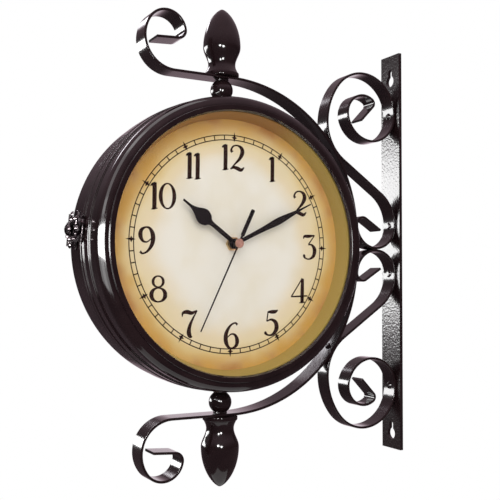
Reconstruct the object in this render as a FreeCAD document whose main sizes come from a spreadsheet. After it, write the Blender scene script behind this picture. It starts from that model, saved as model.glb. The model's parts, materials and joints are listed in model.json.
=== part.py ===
import FreeCAD, Part
import math
import os
import re

import Sketcher
from FreeCAD import Placement, Rotation, Vector

# Double-sided wall clock: a drum with a dial on each side, carried between two pivots on a scrolled
# flat-bar bracket. X runs towards the wall, whose face is X = 0. Z is up and the front dial faces -Y.

SIZES = {
    # Wall strap and its keyholes
    "strap_length": 349.0,
    "strap_width": 25.0,
    "strap_thick": 3.0,
    "screw_below_top": 15.0,
    "screw_above_foot": 21.0,
    "screw_entry": 10.0,
    "screw_slot": 5.0,
    "screw_travel": 8.0,
    # Flat-bar arm round the drum, with a curl at each end
    "bar_width": 18.0,
    "scroll_bar_width": 15.0,
    "bar_thick": 2.0,
    "arm_clear": 10.5,
    "arm_flat": 5.8,
    "arm_lead": 44.0,
    "curl_outer": 24.7,
    "curl_inner": 15.7,
    "curl_bend": 6.1,
    "curl_tail": 17.9,
    # Rivets
    "rivet_shank": 3.5,
    "rivet_head": 6.0,
    "rivet_rise": 1.4,
    "rivet_cap": 3.6,
    # Pivots: finial, stud, ball and bush
    "stud_diameter": 5.0,
    "stud_entry": 16.0,
    "stud_stop": 0.5,
    "ball_diameter": 18.0,
    "ball_height": 16.5,
    "finial_base": 27.6,
    "finial_plinth": 3.5,
    "finial_neck": 21.8,
    "finial_neck_height": 10.0,
    "finial_foot_radius": 20.0,
    "finial_bulb": 30.0,
    "finial_bulb_height": 24.5,
    "finial_height": 55.5,
    "bush_diameter": 12.0,
    "bush_collar": 0.7,
    "bush_flange": 18.0,
    "bush_flange_thick": 2.0,
    # Clearances
    "fit_gap": 0.05,
    "run_gap": 0.2,
    "open_gap": 0.4,
    "overrun": 1.0,
    # Drum case, each half measured outwards from the seam
    "opening_radius": 100.0,
    "bezel_slope": 3.8,
    "seam_half": 0.25,
    "band_half": 15.0,
    "groove_depth": 1.5,
    "shell_wall": 1.8,
    "shoulder_start": 28.0,
    "shoulder_radius": 8.0,
    "rim_rise": 1.2,
    "rim_width": 1.0,
    "lip_front": 34.8,
    "lip_back": 34.2,
    "glass_seat": 6.0,
    "glass_thick": 2.0,
    "bore_taper": 4.5,
    "seam_ring_wall": 1.9,
    "seam_ring_front": 8.0,
    "seam_ring_rear": 12.0,
    # Dial, recess wall and retaining ring
    "dial_front": 19.3,
    "dial_thick": 1.0,
    "spacer_wall": 1.0,
    "recess_slope": 3.4,
    "retainer_width": 7.0,
    "retainer_depth": 2.5,
    # Case hinge
    "leaf_thick": 1.0,
    "leaf_width": 6.0,
    "leaf_height": 30.0,
    "knuckle_radius": 2.5,
    "hinge_pin_radius": 1.0,
    # Clasp
    "clasp_height": 30.0,
    "clasp_plate_thick": 1.5,
    "clasp_rear": 24.0,
    "clasp_front": 8.0,
    "clasp_seam": 1.5,
    "clasp_knuckle": 1.8,
    "clasp_pin_radius": 0.8,
    "clasp_pin_back": 19.0,
    "tongue_height": 24.0,
    "tongue_barrel": 11.4,
    "tongue_thick": 1.6,
    "tongue_boss": 5.5,
    "tongue_boss_rise": 4.6,
    "tongue_boss_back": 11.0,
    "tongue_lip_rise": 1.8,
    "tongue_lip": 2.0,
    # Clockwork case
    "movement_depth": 16.0,
    "movement_low": 31.0,
    "movement_high": 26.0,
    "movement_wall": 1.2,
    "divider_below": 13.7,
    "neck_radius": 3.95,
    "neck_top": 22.6,
    "nut_radius": 5.8,
    "nut_thick": 2.7,
    # Battery and motor
    "battery_diameter": 14.5,
    "battery_length": 50.5,
    "battery_nub": 2.75,
    "battery_nub_length": 1.0,
    "contact_size": 8.0,
    "contact_depth": 1.85,
    "rotor_radius": 3.0,
    "rotor_height": 2.7,
    "rotor_rise": 1.0,
    "stator_thick": 1.8,
    "stator_rise": 2.1,
    "stator_side": 5.5,
    "stator_low": 6.0,
    "coil_radius": 3.4,
    "coil_clear": 2.3,
    "coil_offset": 5.0,
    "board_length": 21.0,
    "board_height": 9.5,
    "board_thick": 1.0,
    "board_low": 14.5,
    # Wheels, with levels above the inner face of the back cover
    "train_module": 0.36,
    "drive_module": 0.34,
    "motion_module": 0.4,
    "wheel_thick": 0.8,
    "pinion_over": 0.4,
    "drive_level": 0.2,
    "second_level": 1.6,
    "third_level": 3.3,
    "centre_level": 6.6,
    "motion_level": 10.6,
    "hour_level": 12.1,
    "arbor_radius": 0.5,
    "post_radius": 0.6,
    "minute_pipe": 1.5,
    "hour_pipe": 2.5,
    "pipe_gap": 0.06,
    "knob_radius": 5.0,
    "knob_thick": 1.6,
    "knob_arbor": 1.0,
    "knob_boss": 2.2,
    "knob_boss_height": 4.5,
    # Hands, with levels above the seam
    "hand_thick": 0.6,
    "hour_hand_level": 24.2,
    "hour_length": 54.1,
    "hour_stem": 3.2,
    "hour_tip": 2.4,
    "hour_disc_at": 33.3,
    "hour_disc": 6.2,
    "hour_boss": 4.2,
    "minute_hand_level": 27.0,
    "minute_length": 76.0,
    "minute_stem": 3.2,
    "minute_leaf": 5.6,
    "minute_leaf_at": 42.0,
    "minute_tip": 1.0,
    "minute_boss": 3.3,
    "minute_boss_height": 4.4,
    "second_hand_level": 30.2,
    "second_length": 73.7,
    "second_needle": 1.3,
    "second_tip": 0.8,
    "second_paddle": 3.2,
    "second_paddle_at": 6.5,
    "second_tail": 29.0,
    "second_cap": 3.6,
    "second_cap_rise": 0.9,
}

# Room between the arm and the strap and reach of the scrolls over the arm, as shares of the arm's corner
STRAP_GAP_SHARE = 0.351667
SCROLL_TUCK_SHARE = 0.24

# Sums of sizes that several pieces share
SUMS = {
    "rim_radius": "opening_radius + bezel_slope + rim_width",
    "groove_radius": "rim_radius + shoulder_radius",
    "case_radius": "groove_radius + groove_depth",
    "arm_side": "case_radius + arm_clear + bar_thick / 2",
    "arm_corner": "arm_side - arm_flat",
    "strap_inner": f"arm_side + bar_thick / 2 + arm_corner * {STRAP_GAP_SHARE}",
    "wall_reach": "strap_inner + strap_thick",
    "scroll_reach": f"arm_side - arm_corner * {SCROLL_TUCK_SHARE}",
    "scroll_width": "strap_inner - bar_thick / 2 - scroll_reach",
    "collar_top": "case_radius + bush_collar",
    "ball_low": "collar_top + run_gap",
    "arm_under": "ball_low + ball_height",
    "arm_top": "arm_under + bar_thick",
    "shell_bore": "groove_radius - shell_wall",
    "rim_back": "shoulder_start + shoulder_radius",
    "rim_front": "rim_back + rim_rise",
    "glass_radius": "opening_radius + glass_seat",
    "glass_back": "lip_back - glass_thick",
    "dial_back": "dial_front - dial_thick",
    "dial_radius": "shell_bore - run_gap",
    "seam_ring_bore": "shell_bore - seam_ring_wall",
    "retainer_back": "dial_back - retainer_depth",
    "hinge_axis": "case_radius + knuckle_radius + run_gap",
    "clasp_top": "case_radius + clasp_plate_thick",
    "clasp_axis": "clasp_top + clasp_knuckle + run_gap",
    "tongue_low": "clasp_axis - tongue_thick / 2",
    "movement_half": "battery_length / 2 + run_gap + contact_depth + movement_wall",
    "movement_back": "dial_back - movement_depth",
    "floor": "movement_back + movement_wall",
    "ceiling": "dial_back - movement_wall",
    "bay_top": "divider_below + movement_wall",
    "bay_low": "movement_low - movement_wall",
    "battery_drop": "(bay_top + bay_low) / 2",
    "battery_level": "ceiling - run_gap - battery_diameter / 2",
    "bush_bore": "hour_pipe + pipe_gap",
}

# Numbers of teeth
SECOND_WHEEL_TEETH = 48
SECOND_PINION_TEETH = 8
THIRD_WHEEL_TEETH = 60
THIRD_PINION_TEETH = 8
CENTRE_WHEEL_TEETH = 64
CANNON_PINION_TEETH = 10
MOTION_WHEEL_TEETH = 30
MOTION_PINION_TEETH = 8
HOUR_WHEEL_TEETH = 32
DRIVE_WHEEL_TEETH = 40
DRIVE_PINION_TEETH = 8
ROTOR_PINION_TEETH = 8
KNOB_PINION_TEETH = 16

# Tooth form, as shares of the module and of one tooth's angle
TIP_RISE_SHARE = 0.85
ROOT_DROP_SHARE = 1.15
TIP_HALF_SHARE = 0.09
ROOT_HALF_SHARE = 0.24

# Arcs and tails of a scroll, as shares of its width and of its foot's radius
HIP_SHARE = 0.47
CROWN_SHARE = 0.75
EYE_SHARE = 0.3545
CORE_SHARE = 0.237
CORE_BEND_SHARE = 0.058
CORE_TAIL_SHARE = 0.252
FOOT_BEND_SHARE = 0.29
FOOT_TAIL_SHARE = 0.86

# Turns of the scrolls and curls, in degrees
QUARTER_TURN = 90.0
FULL_LOOP_TURN = 180.0
HIP_TURN = 56.0
CROWN_TURN = 38.6
EYE_TURN = 162.0
CORE_TURN = 141.0
CORE_BEND_TURN = 101.0
FOOT_BEND_TURN = 122.0
CURL_TURN = 128.0
CURL_INNER_TURN = 134.0
CURL_BEND_TURN = 94.0

# Straight steps in each curve of a finial's outline
FINIAL_STEPS = 8

# How far round the drum the clasp sits above the middle, in degrees
CLASP_TILT = 4.2

# Rest angles of the hands, clockwise from twelve, in degrees
HOUR_ANGLE = -54.0
MINUTE_ANGLE = 63.7
SECOND_ANGLE = 205.5

DOC = FreeCAD.newDocument("double_sided_wall_clock")
SHEET = DOC.addObject("Spreadsheet::Sheet", "Sizes")
PIECES = []

WORD = re.compile(r"[a-z]\w*")
TURN_TO_FRONT = Rotation(Vector(1, 0, 0), 90)
HALF_TURN = Rotation(Vector(0, 0, 1), 180)
CLASP_TURN = Rotation(Vector(0, 0, 1), 180 - CLASP_TILT)
ALONG = {
    "x": Rotation(Vector(0, 1, 0), 90),
    "y": Rotation(Vector(1, 0, 0), -90),
    "z": Rotation(),
}


def fill_sheet():
    """Put every driving size into the spreadsheet under its own alias."""
    for row, (alias, value) in enumerate(SIZES.items(), start=1):
        SHEET.set(f"A{row}", str(value))
        SHEET.setAlias(f"A{row}", alias)
    DOC.recompute()


def sized(text):
    """Write a sum of named sizes as an expression on the spreadsheet."""
    def spell(found):
        word = found[0]
        if word in SUMS:
            return f"({sized(SUMS[word])})"
        return f"Sizes.{word}" if word in SIZES else word
    return WORD.sub(spell, text)


def number(text):
    """The value, in millimetres, of a sum of named sizes."""
    return float(SHEET.evalExpression(sized(text)))


def bind(thing, **properties):
    """Bind properties of a document object to sums of named sizes."""
    for name, text in properties.items():
        thing.setExpression(name, sized(text))


def bind_place(thing, at):
    """Bind the position of a document object, leaving its rotation as it is."""
    for axis, text in zip("xyz", at):
        if text != "0":
            thing.setExpression(f"Placement.Base.{axis}", sized(text))


def cylinder(name, radius, length, at=("0", "0", "0"), along="z"):
    """A cylinder that starts at a point and runs along an axis."""
    thing = DOC.addObject("Part::Cylinder", name)
    bind(thing, Radius=radius, Height=length)
    thing.Placement = Placement(Vector(), ALONG[along])
    bind_place(thing, at)
    return thing


def block(name, x, y, z):
    """A box between a low and a high plane on each axis."""
    thing = DOC.addObject("Part::Box", name)
    spans = [f"({high}) - ({low})" for low, high in (x, y, z)]
    bind(thing, Length=spans[0], Width=spans[1], Height=spans[2])
    bind_place(thing, (x[0], y[0], z[0]))
    return thing


def fuse(name, shapes):
    """Several touching shapes made one."""
    thing = DOC.addObject("Part::MultiFuse", name)
    thing.Shapes = shapes
    return thing


def group(name, shapes):
    """Several separate solids kept together."""
    thing = DOC.addObject("Part::Compound", name)
    thing.Links = shapes
    return thing


def cut(name, base, tools):
    """A shape with other shapes taken out of it."""
    thing = DOC.addObject("Part::Cut", name)
    thing.Base = base
    thing.Tool = tools[0] if len(tools) == 1 else fuse(f"{name}_cuts", tools)
    return thing


def common(name, shapes):
    """What several shapes have in common."""
    thing = DOC.addObject("Part::MultiCommon", name)
    thing.Shapes = shapes
    return thing


def mirrored(name, source):
    """The mirror image of a bracket piece below the drum's middle."""
    thing = DOC.addObject("Part::Mirroring", name)
    thing.Source = source
    thing.Normal = Vector(0, 0, 1)
    return thing


def arc_between(start, end, radius, side):
    """An arc from start to end that bulges to one side of the chord, and whether it runs backwards."""
    chord = end - start
    across = Vector(-chord.y, chord.x, 0).normalize()
    rise = math.sqrt(max(radius**2 - (chord.Length / 2) ** 2, 0))
    centre = (start + end) / 2 - across * rise * side
    circle = Part.Circle(centre, Vector(0, 0, 1), radius)
    backwards = side > 0
    first, last = (end, start) if backwards else (start, end)
    angles = [math.atan2(point.y - centre.y, point.x - centre.x) for point in (first, last)]
    return Part.ArcOfCircle(circle, angles[0], angles[1]), backwards


def pin_corner(sketch, edge, corner, place):
    """Hold a corner of a sketch on an axis where its place is zero, and at a bound distance elsewhere."""
    for kind, axis, text in (("DistanceX", -2, place[0]), ("DistanceY", -1, place[1])):
        if text == "0":
            sketch.addConstraint(Sketcher.Constraint("PointOnObject", edge, corner, axis))
        else:
            index = sketch.addConstraint(Sketcher.Constraint(kind, edge, corner, number(text)))
            sketch.setExpression(f"Constraints[{index}]", sized(text))


def outline(body, plane, corners):
    """Draw a closed outline on a plane of a body.

    Each corner is (x, y), or (x, y, radius, side) where the edge that reaches it is an arc which bulges
    to the left (side 1) or the right (side -1) of the way there.
    """
    sketch = body.newObject("Sketcher::SketchObject", f"{body.Name}_outline")
    planes = [item for item in body.Origin.OriginFeatures if item.Role == plane]
    sketch.AttachmentSupport = [(planes[0], "")]
    sketch.MapMode = "FlatFace"
    places = [Vector(number(corner[0]), number(corner[1]), 0) for corner in corners]
    ends = []
    for index, start in enumerate(places):
        following = (index + 1) % len(places)
        arc = corners[following][2:]
        if arc:
            shape, backwards = arc_between(start, places[following], number(arc[0]), arc[1])
        else:
            shape, backwards = Part.LineSegment(start, places[following]), False
        edge = sketch.addGeometry(shape, False)
        ends.append((edge, 2, 1) if backwards else (edge, 1, 2))
        if arc:
            held = sketch.addConstraint(Sketcher.Constraint("Radius", edge, number(arc[0])))
            sketch.setExpression(f"Constraints[{held}]", sized(arc[0]))
    for index, (edge, first, _) in enumerate(ends):
        before, _, last = ends[index - 1]
        sketch.addConstraint(Sketcher.Constraint("Coincident", before, last, edge, first))
        pin_corner(sketch, edge, first, corners[index][:2])
    return sketch


def turned(name, corners):
    """A body turned about its own Z axis from an outline of radii and heights."""
    body = DOC.addObject("PartDesign::Body", name)
    sketch = outline(body, "XZ_Plane", corners)
    turn = body.newObject("PartDesign::Revolution", f"{name}_turn")
    turn.Profile = sketch
    turn.ReferenceAxis = (sketch, ["V_Axis"])
    turn.Angle = 360
    body.Tip = turn
    return body


def flat_piece(name, corners, low, thick):
    """A body of even thickness above a level, from an outline seen along Z."""
    body = DOC.addObject("PartDesign::Body", name)
    sketch = outline(body, "XY_Plane", corners)
    sketch.setExpression("AttachmentOffset.Base.z", sized(low))
    pad = body.newObject("PartDesign::Pad", f"{name}_pad")
    pad.Profile = sketch
    bind(pad, Length=thick)
    body.Tip = pad
    return body


def keep(thing, rotation=Rotation()):
    """Set a finished piece in its place on the clock, at the drum's middle, and note it for export."""
    thing.Label = thing.Name
    thing.Placement = Placement(Vector(), rotation)
    bind_place(thing, ("-wall_reach", "0", "0"))
    PIECES.append(thing)
    return thing


def worked_out(name, shape, rotation=Rotation()):
    """A finished piece whose form follows a formula."""
    thing = DOC.addObject("Part::Feature", name)
    thing.Shape = shape
    return keep(thing, rotation)


class Ribbon:
    """A flat bar walked along a chain of straight runs and tangent arcs in the bracket's plane."""

    def __init__(self, start, heading):
        self.here = Vector(start[0], 0, start[1])
        self.heading = math.radians(heading)
        self.half = number("bar_thick / 2")
        self.left = []
        self.right = []

    def aside(self, heading):
        """The direction to the left of a heading."""
        return Vector(-math.sin(heading), 0, math.cos(heading))

    def run(self, length):
        """Go straight on."""
        ahead = Vector(math.cos(self.heading), 0, math.sin(self.heading))
        over = self.aside(self.heading) * self.half
        there = self.here + ahead * length
        self.left.append(Part.LineSegment(self.here + over, there + over).toShape())
        self.right.append(Part.LineSegment(self.here - over, there - over).toShape())
        self.here = there
        return self

    def bend(self, radius, turn):
        """Go round an arc, to the left for a positive turn in degrees, and return its centre."""
        side = math.copysign(1, turn)
        centre = self.here + self.aside(self.heading) * radius * side
        steps = [self.heading + math.radians(turn) * share for share in (0, 0.5, 1)]
        spokes = [self.aside(step) * -side for step in steps]
        sides = ((self.left, radius - side * self.half), (self.right, radius + side * self.half))
        for edges, reach in sides:
            points = [centre + spoke * reach for spoke in spokes]
            edges.append(Part.Arc(*points).toShape())
        self.here = centre + spokes[-1] * radius
        self.heading = steps[-1]
        return centre

    def solid(self, width):
        """The bar's solid, of the width given and centred on the bracket's plane."""
        ends = [(self.left[0].firstVertex().Point, self.right[0].firstVertex().Point),
                (self.left[-1].lastVertex().Point, self.right[-1].lastVertex().Point)]
        caps = [Part.LineSegment(first, last).toShape() for first, last in ends]
        wire = Part.Wire(Part.__sortEdges__(self.left + self.right + caps))
        face = Part.Face(wire)
        face.translate(Vector(0, -width / 2, 0))
        return face.extrude(Vector(0, width, 0))


def upright(shape):
    """A shape joined to its mirror image below the drum's middle."""
    return shape.fuse(shape.mirror(Vector(), Vector(0, 0, 1))).removeSplitter()


def arm_corner_centre():
    """Centre of the arm's upper corner, as distance from the pivot axis and height."""
    corner = number("arm_corner")
    return number("arm_side") - corner, number("arm_under + bar_thick / 2") - corner


def arm_solid():
    """The arm: up from the middle, round the corner, past the pivot and into the curl, and mirrored."""
    across, rise = arm_corner_centre()
    arm = Ribbon((number("arm_side"), 0), QUARTER_TURN)
    arm.run(rise)
    arm.bend(number("arm_corner"), QUARTER_TURN)
    arm.run(across + number("arm_lead"))
    arm.bend(number("curl_outer"), -CURL_TURN)
    arm.bend(number("curl_inner"), -CURL_INNER_TURN)
    arm.bend(number("curl_bend"), -CURL_BEND_TURN)
    arm.run(number("curl_tail"))
    return upright(arm.solid(number("bar_width")))


def foot_radius():
    """Outer radius of a scroll's small loop, which touches the strap, the arm and the other scroll."""
    across, rise = arm_corner_centre()
    reach = number("strap_inner") - across
    outer = number("arm_corner + bar_thick / 2")
    slope = reach + rise + outer
    return slope - math.sqrt(slope**2 - (reach**2 + rise**2 - outer**2))


def hip_exit():
    """Where the scroll's hip ends and its straight shank starts, as distance and height."""
    hip = number("scroll_width") * HIP_SHARE
    turn = math.radians(HIP_TURN)
    return (number("strap_inner - bar_thick / 2") - hip * (1 - math.cos(turn)),
            foot_radius() + hip * math.sin(turn))


def shank_and_heel():
    """Length of the shank and radius of the heel, which touches the arm at the scroll's far side."""
    turn = math.radians(HIP_TURN)
    start = hip_exit()
    across, rise = arm_corner_centre()
    reach = number("scroll_reach")
    run_base = (start[0] - reach) / math.sin(turn)
    run_slope = (1 - math.cos(turn)) / math.sin(turn)
    level_base = start[1] + run_base * math.cos(turn) - rise
    level_slope = math.sin(turn) - run_slope * math.cos(turn)
    touch = number("arm_corner + bar_thick")
    side = reach - across
    first = level_slope**2
    second = 2 * (side + level_base * level_slope - touch)
    third = side**2 + level_base**2 - touch**2
    heel = (-second + math.sqrt(second**2 - 4 * first * third)) / (2 * first)
    return run_base - run_slope * heel, heel


def crown_second():
    """Radius of the second arc of the scroll's crown, which ends against the strap."""
    width = number("scroll_width")
    tilt = math.cos(math.radians(CROWN_TURN))
    return (width - width * CROWN_SHARE * (1 - tilt)) / (1 + tilt)


def scroll_solid():
    """The upper scroll's solid, the centres of its foot and heel, and where its crown meets the strap."""
    width = number("scroll_width")
    inner = number("bar_thick / 2")
    foot = foot_radius()
    start = (number("strap_inner - bar_thick / 2"), foot)
    lower = Ribbon(start, -QUARTER_TURN)
    foot_centre = lower.bend(foot - inner, -FULL_LOOP_TURN)
    lower.bend(foot * FOOT_BEND_SHARE, -FOOT_BEND_TURN)
    lower.run(foot * FOOT_TAIL_SHARE)
    upper = Ribbon(start, QUARTER_TURN)
    upper.bend(width * HIP_SHARE, HIP_TURN)
    shank, heel = shank_and_heel()
    upper.run(shank)
    heel_centre = upper.bend(heel, -HIP_TURN)
    upper.bend(width * CROWN_SHARE, -CROWN_TURN)
    upper.bend(crown_second(), CROWN_TURN - FULL_LOOP_TURN)
    crown_touch = upper.here
    upper.bend(width * EYE_SHARE, -EYE_TURN)
    upper.bend(width * CORE_SHARE, -CORE_TURN)
    upper.bend(width * CORE_BEND_SHARE, -CORE_BEND_TURN)
    upper.run(width * CORE_TAIL_SHARE)
    bar = number("scroll_bar_width")
    solid = lower.solid(bar).fuse(upper.solid(bar)).removeSplitter()
    return solid, foot_centre, heel_centre, crown_touch


def rivet(place, direction, before, after, curve_before, curve_after):
    """A rivet through two bars: shank and, where its curve is given, a head on each side."""
    shank = number("rivet_shank / 2")
    head = number("rivet_head / 2")
    solid = Part.makeCylinder(shank, before + after, place - direction * before, direction)
    for reach, way, curve in ((before, -1, curve_before), (after, 1, curve_after)):
        if curve is not None:
            sag = curve - math.sqrt(curve**2 - head**2) if curve else 0
            seat = place + direction * way * (reach + sag)
            top = number("rivet_cap / 2")
            cap = Part.makeCone(head, top, number("rivet_rise"), seat, direction * way)
            neck = Part.makeCylinder(shank, reach + sag, place, direction * way)
            solid = solid.fuse(neck).fuse(cap)
    return solid.removeSplitter()


def bracket_rivets(foot_centre, heel_centre, crown_touch):
    """The rivets of the upper half: arm to heel, arm to foot, crown to strap and foot to strap."""
    across, rise = arm_corner_centre()
    corner = Vector(across, 0, rise)
    thick = number("bar_thick")
    arm_bore = number("arm_corner - bar_thick / 2")
    rivets = []
    for centre, hollow in ((heel_centre, 0), (foot_centre, foot_radius() - thick)):
        outward = (centre - corner).normalize()
        place = corner + outward * number("arm_corner + bar_thick / 2")
        rivets.append(rivet(place, outward, thick, thick, arm_bore, hollow))
    wallward = Vector(1, 0, 0)
    crown_hollow = crown_second() - thick / 2
    for height, hollow in ((crown_touch.z, crown_hollow), (foot_centre.z, foot_radius() - thick)):
        place = Vector(number("strap_inner"), 0, height)
        rivets.append(rivet(place, wallward, thick, number("strap_thick"), hollow, None))
    return rivets


def strap_body():
    """The wall strap: a flat bar with a keyhole near each end, its narrow end up."""
    half = "strap_width / 2"
    blank = block("strap_blank", ("strap_inner", "wall_reach"), (f"-{half}", half),
                  ("-strap_length / 2", "strap_length / 2"))
    tools = []
    seats = {"top": "strap_length / 2 - screw_below_top", "foot": "screw_above_foot - strap_length / 2"}
    for end, seat in seats.items():
        entry = f"{seat} - screw_travel"
        start = "strap_inner - overrun"
        depth = "strap_thick + overrun * 2"
        tools.append(cylinder(f"keyhole_{end}_entry", "screw_entry / 2", depth, (start, "0", entry), "x"))
        tools.append(cylinder(f"keyhole_{end}_seat", "screw_slot / 2", depth, (start, "0", seat), "x"))
        tools.append(block(f"keyhole_{end}_slot", (start, "wall_reach + overrun"),
                           ("-screw_slot / 2", "screw_slot / 2"), (entry, seat)))
    return cut("strap_holed", blank, tools)


def build_bracket():
    """Strap, arm, two scrolls and their rivets, each bar drilled for the rivets that pass through it."""
    scroll, foot_centre, heel_centre, crown_touch = scroll_solid()
    arm = arm_solid()
    rivets = bracket_rivets(foot_centre, heel_centre, crown_touch)
    rivets += [piece.mirror(Vector(), Vector(0, 0, 1)) for piece in rivets]
    drill = Part.makeCylinder(number("stud_diameter / 2 + fit_gap"), number("arm_top * 2"),
                              Vector(0, 0, -number("arm_top")))
    worked_out("c_arm", arm.cut([drill] + rivets))
    worked_out("upper_scroll", scroll.cut(rivets))
    worked_out("lower_scroll", scroll.mirror(Vector(), Vector(0, 0, 1)).cut(rivets))
    worked_out("bracket_rivets", Part.makeCompound(rivets))
    shanks = DOC.addObject("Part::Feature", "strap_rivet_holes")
    shanks.Shape = Part.makeCompound(rivets)
    keep(cut("wall_strap", strap_body(), [shanks]))


def finial_profile():
    """Corners of a finial above the arm: plinth, hollow foot, swelling bulb and parabolic top."""
    foot = "finial_foot_radius"
    hollow = "(finial_neck_height - finial_plinth)"
    waist = f"finial_neck / 2 + {foot} - sqrt({foot} ^ 2 - {hollow} ^ 2)"
    swell = "(finial_bulb - finial_neck) / 4"
    lift = "(finial_bulb_height - finial_neck_height)"
    point = "(finial_height - finial_bulb_height)"
    bore = "stud_diameter / 2 + fit_gap"
    corners = [
        (bore, "arm_top"),
        ("finial_base / 2", "arm_top"),
        ("finial_base / 2", "arm_top + finial_plinth"),
        (waist, "arm_top + finial_plinth"),
        ("finial_neck / 2", "arm_top + finial_neck_height", foot, 1),
    ]
    for step in range(1, FINIAL_STEPS + 1):
        share = step / FINIAL_STEPS
        corners.append((f"finial_neck / 2 + {swell} * (1 - cos(180 * {share}))",
                        f"arm_top + finial_neck_height + {lift} * {share}"))
    for step in range(1, FINIAL_STEPS):
        share = step / FINIAL_STEPS
        corners.append((f"finial_bulb / 2 * (1 - {share**2})",
                        f"arm_top + finial_bulb_height + {point} * {share}"))
    bore_end = "arm_top + stud_entry"
    return corners + [("0", "arm_top + finial_height"), ("0", bore_end), (bore, bore_end)]


def build_pivots():
    """Finials, studs and balls above and below the drum, and the bushes that turn on the studs."""
    keep(turned("top_finial", finial_profile()))
    keep(mirrored("bottom_finial", turned("finial_below", finial_profile())))
    bore = "stud_diameter / 2 + fit_gap"
    flat = "sqrt((ball_diameter / 2) ^ 2 - (ball_height / 2) ^ 2)"
    ball = turned("ball", [(bore, "ball_low"), (flat, "ball_low"),
                           (flat, "arm_under", "ball_diameter / 2", -1), (bore, "arm_under")])
    keep(group("pivot_balls", [ball, mirrored("ball_below", ball)]))
    stud_low = "seam_ring_bore - bush_flange_thick"
    stud = cylinder("stud", "stud_diameter / 2", f"arm_top + stud_entry - stud_stop - ({stud_low})",
                    ("0", "0", stud_low))
    keep(group("pivot_studs", [stud, mirrored("stud_below", stud)]))
    sag = "sqrt(seam_ring_bore ^ 2 - (bush_flange / 2) ^ 2)"
    bush = turned("bush", [
        (bore, f"{sag} - bush_flange_thick"),
        ("bush_flange / 2", f"{sag} - bush_flange_thick"),
        ("bush_flange / 2", sag),
        ("bush_diameter / 2", sag),
        ("bush_diameter / 2", "collar_top"),
        (bore, "collar_top"),
    ])
    keep(group("pivot_bushes", [bush, mirrored("bush_below", bush)]))


def pivot_notch(name, radius):
    """The upright cylinder that clears a pivot bush above and below the drum, in a half's own frame."""
    return cylinder(name, radius, "collar_top * 2", ("0", "-(collar_top)", "0"), "y")


def build_case_half(side, rotation):
    """Shell, glass, recess wall, dial and retaining ring of one half, turned about the dial's axis."""
    shell = turned(f"{side}_shell_blank", [
        ("shell_bore", "seam_half"),
        ("case_radius", "seam_half"),
        ("case_radius", "band_half"),
        ("groove_radius", "band_half"),
        ("groove_radius", "shoulder_start"),
        ("rim_radius", "rim_back", "shoulder_radius", -1),
        ("rim_radius", "rim_front"),
        ("rim_radius - rim_width", "rim_front"),
        ("opening_radius", "lip_front"),
        ("opening_radius", "lip_back"),
        ("glass_radius + run_gap", "lip_back"),
        ("glass_radius + run_gap", "shoulder_start + bore_taper / 2"),
        ("shell_bore", "shoulder_start - bore_taper / 2"),
    ])
    notch = pivot_notch(f"{side}_pivot_notch", "bush_diameter / 2 + open_gap")
    keep(cut(f"{side}_shell", shell, [notch]), rotation)
    glass = cylinder(f"{side}_glass_disc", "glass_radius", "glass_thick", ("0", "0", "glass_back"))
    keep(group(f"{side}_glass", [glass]), rotation)
    keep(turned(f"{side}_recess_ring", [
        ("opening_radius - recess_slope", "dial_front"),
        ("dial_radius", "dial_front"),
        ("dial_radius", "dial_front + spacer_wall"),
        ("opening_radius - recess_slope + spacer_wall * 2", "dial_front + spacer_wall"),
        ("opening_radius + spacer_wall", "glass_back"),
        ("opening_radius", "glass_back"),
    ]), rotation)
    disc = cylinder(f"{side}_dial_disc", "dial_radius", "dial_thick", ("0", "0", "dial_back"))
    hole = cylinder(f"{side}_dial_hole", "neck_radius + fit_gap", "dial_front", ("0", "0", "0"))
    keep(cut(f"{side}_dial", disc, [hole]), rotation)
    keep(turned(f"{side}_retaining_ring", [
        ("shell_bore - retainer_width", "retainer_back"),
        ("shell_bore - fit_gap", "retainer_back"),
        ("shell_bore - fit_gap", "dial_back"),
        ("shell_bore - retainer_width", "dial_back"),
    ]), rotation)


def distance(module, first, second):
    """The distance between two arbors whose wheels mesh, as an expression."""
    return f"{module} * {(first + second) / 2}"


# Places of the arbors across the dial's middle, as expressions
THIRD_AT = distance("train_module", SECOND_PINION_TEETH, THIRD_WHEEL_TEETH)
CENTRE_MODULE = f"{THIRD_AT} / {(THIRD_PINION_TEETH + CENTRE_WHEEL_TEETH) / 2}"
DRIVE_AT = distance("drive_module", SECOND_WHEEL_TEETH, DRIVE_PINION_TEETH)
ROTOR_AT = f"{DRIVE_AT} + {distance('drive_module', DRIVE_WHEEL_TEETH, ROTOR_PINION_TEETH)}"
MOTION_AT = distance("motion_module", CANNON_PINION_TEETH, MOTION_WHEEL_TEETH)
KNOB_AT = distance(CENTRE_MODULE, CENTRE_WHEEL_TEETH, KNOB_PINION_TEETH)


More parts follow.
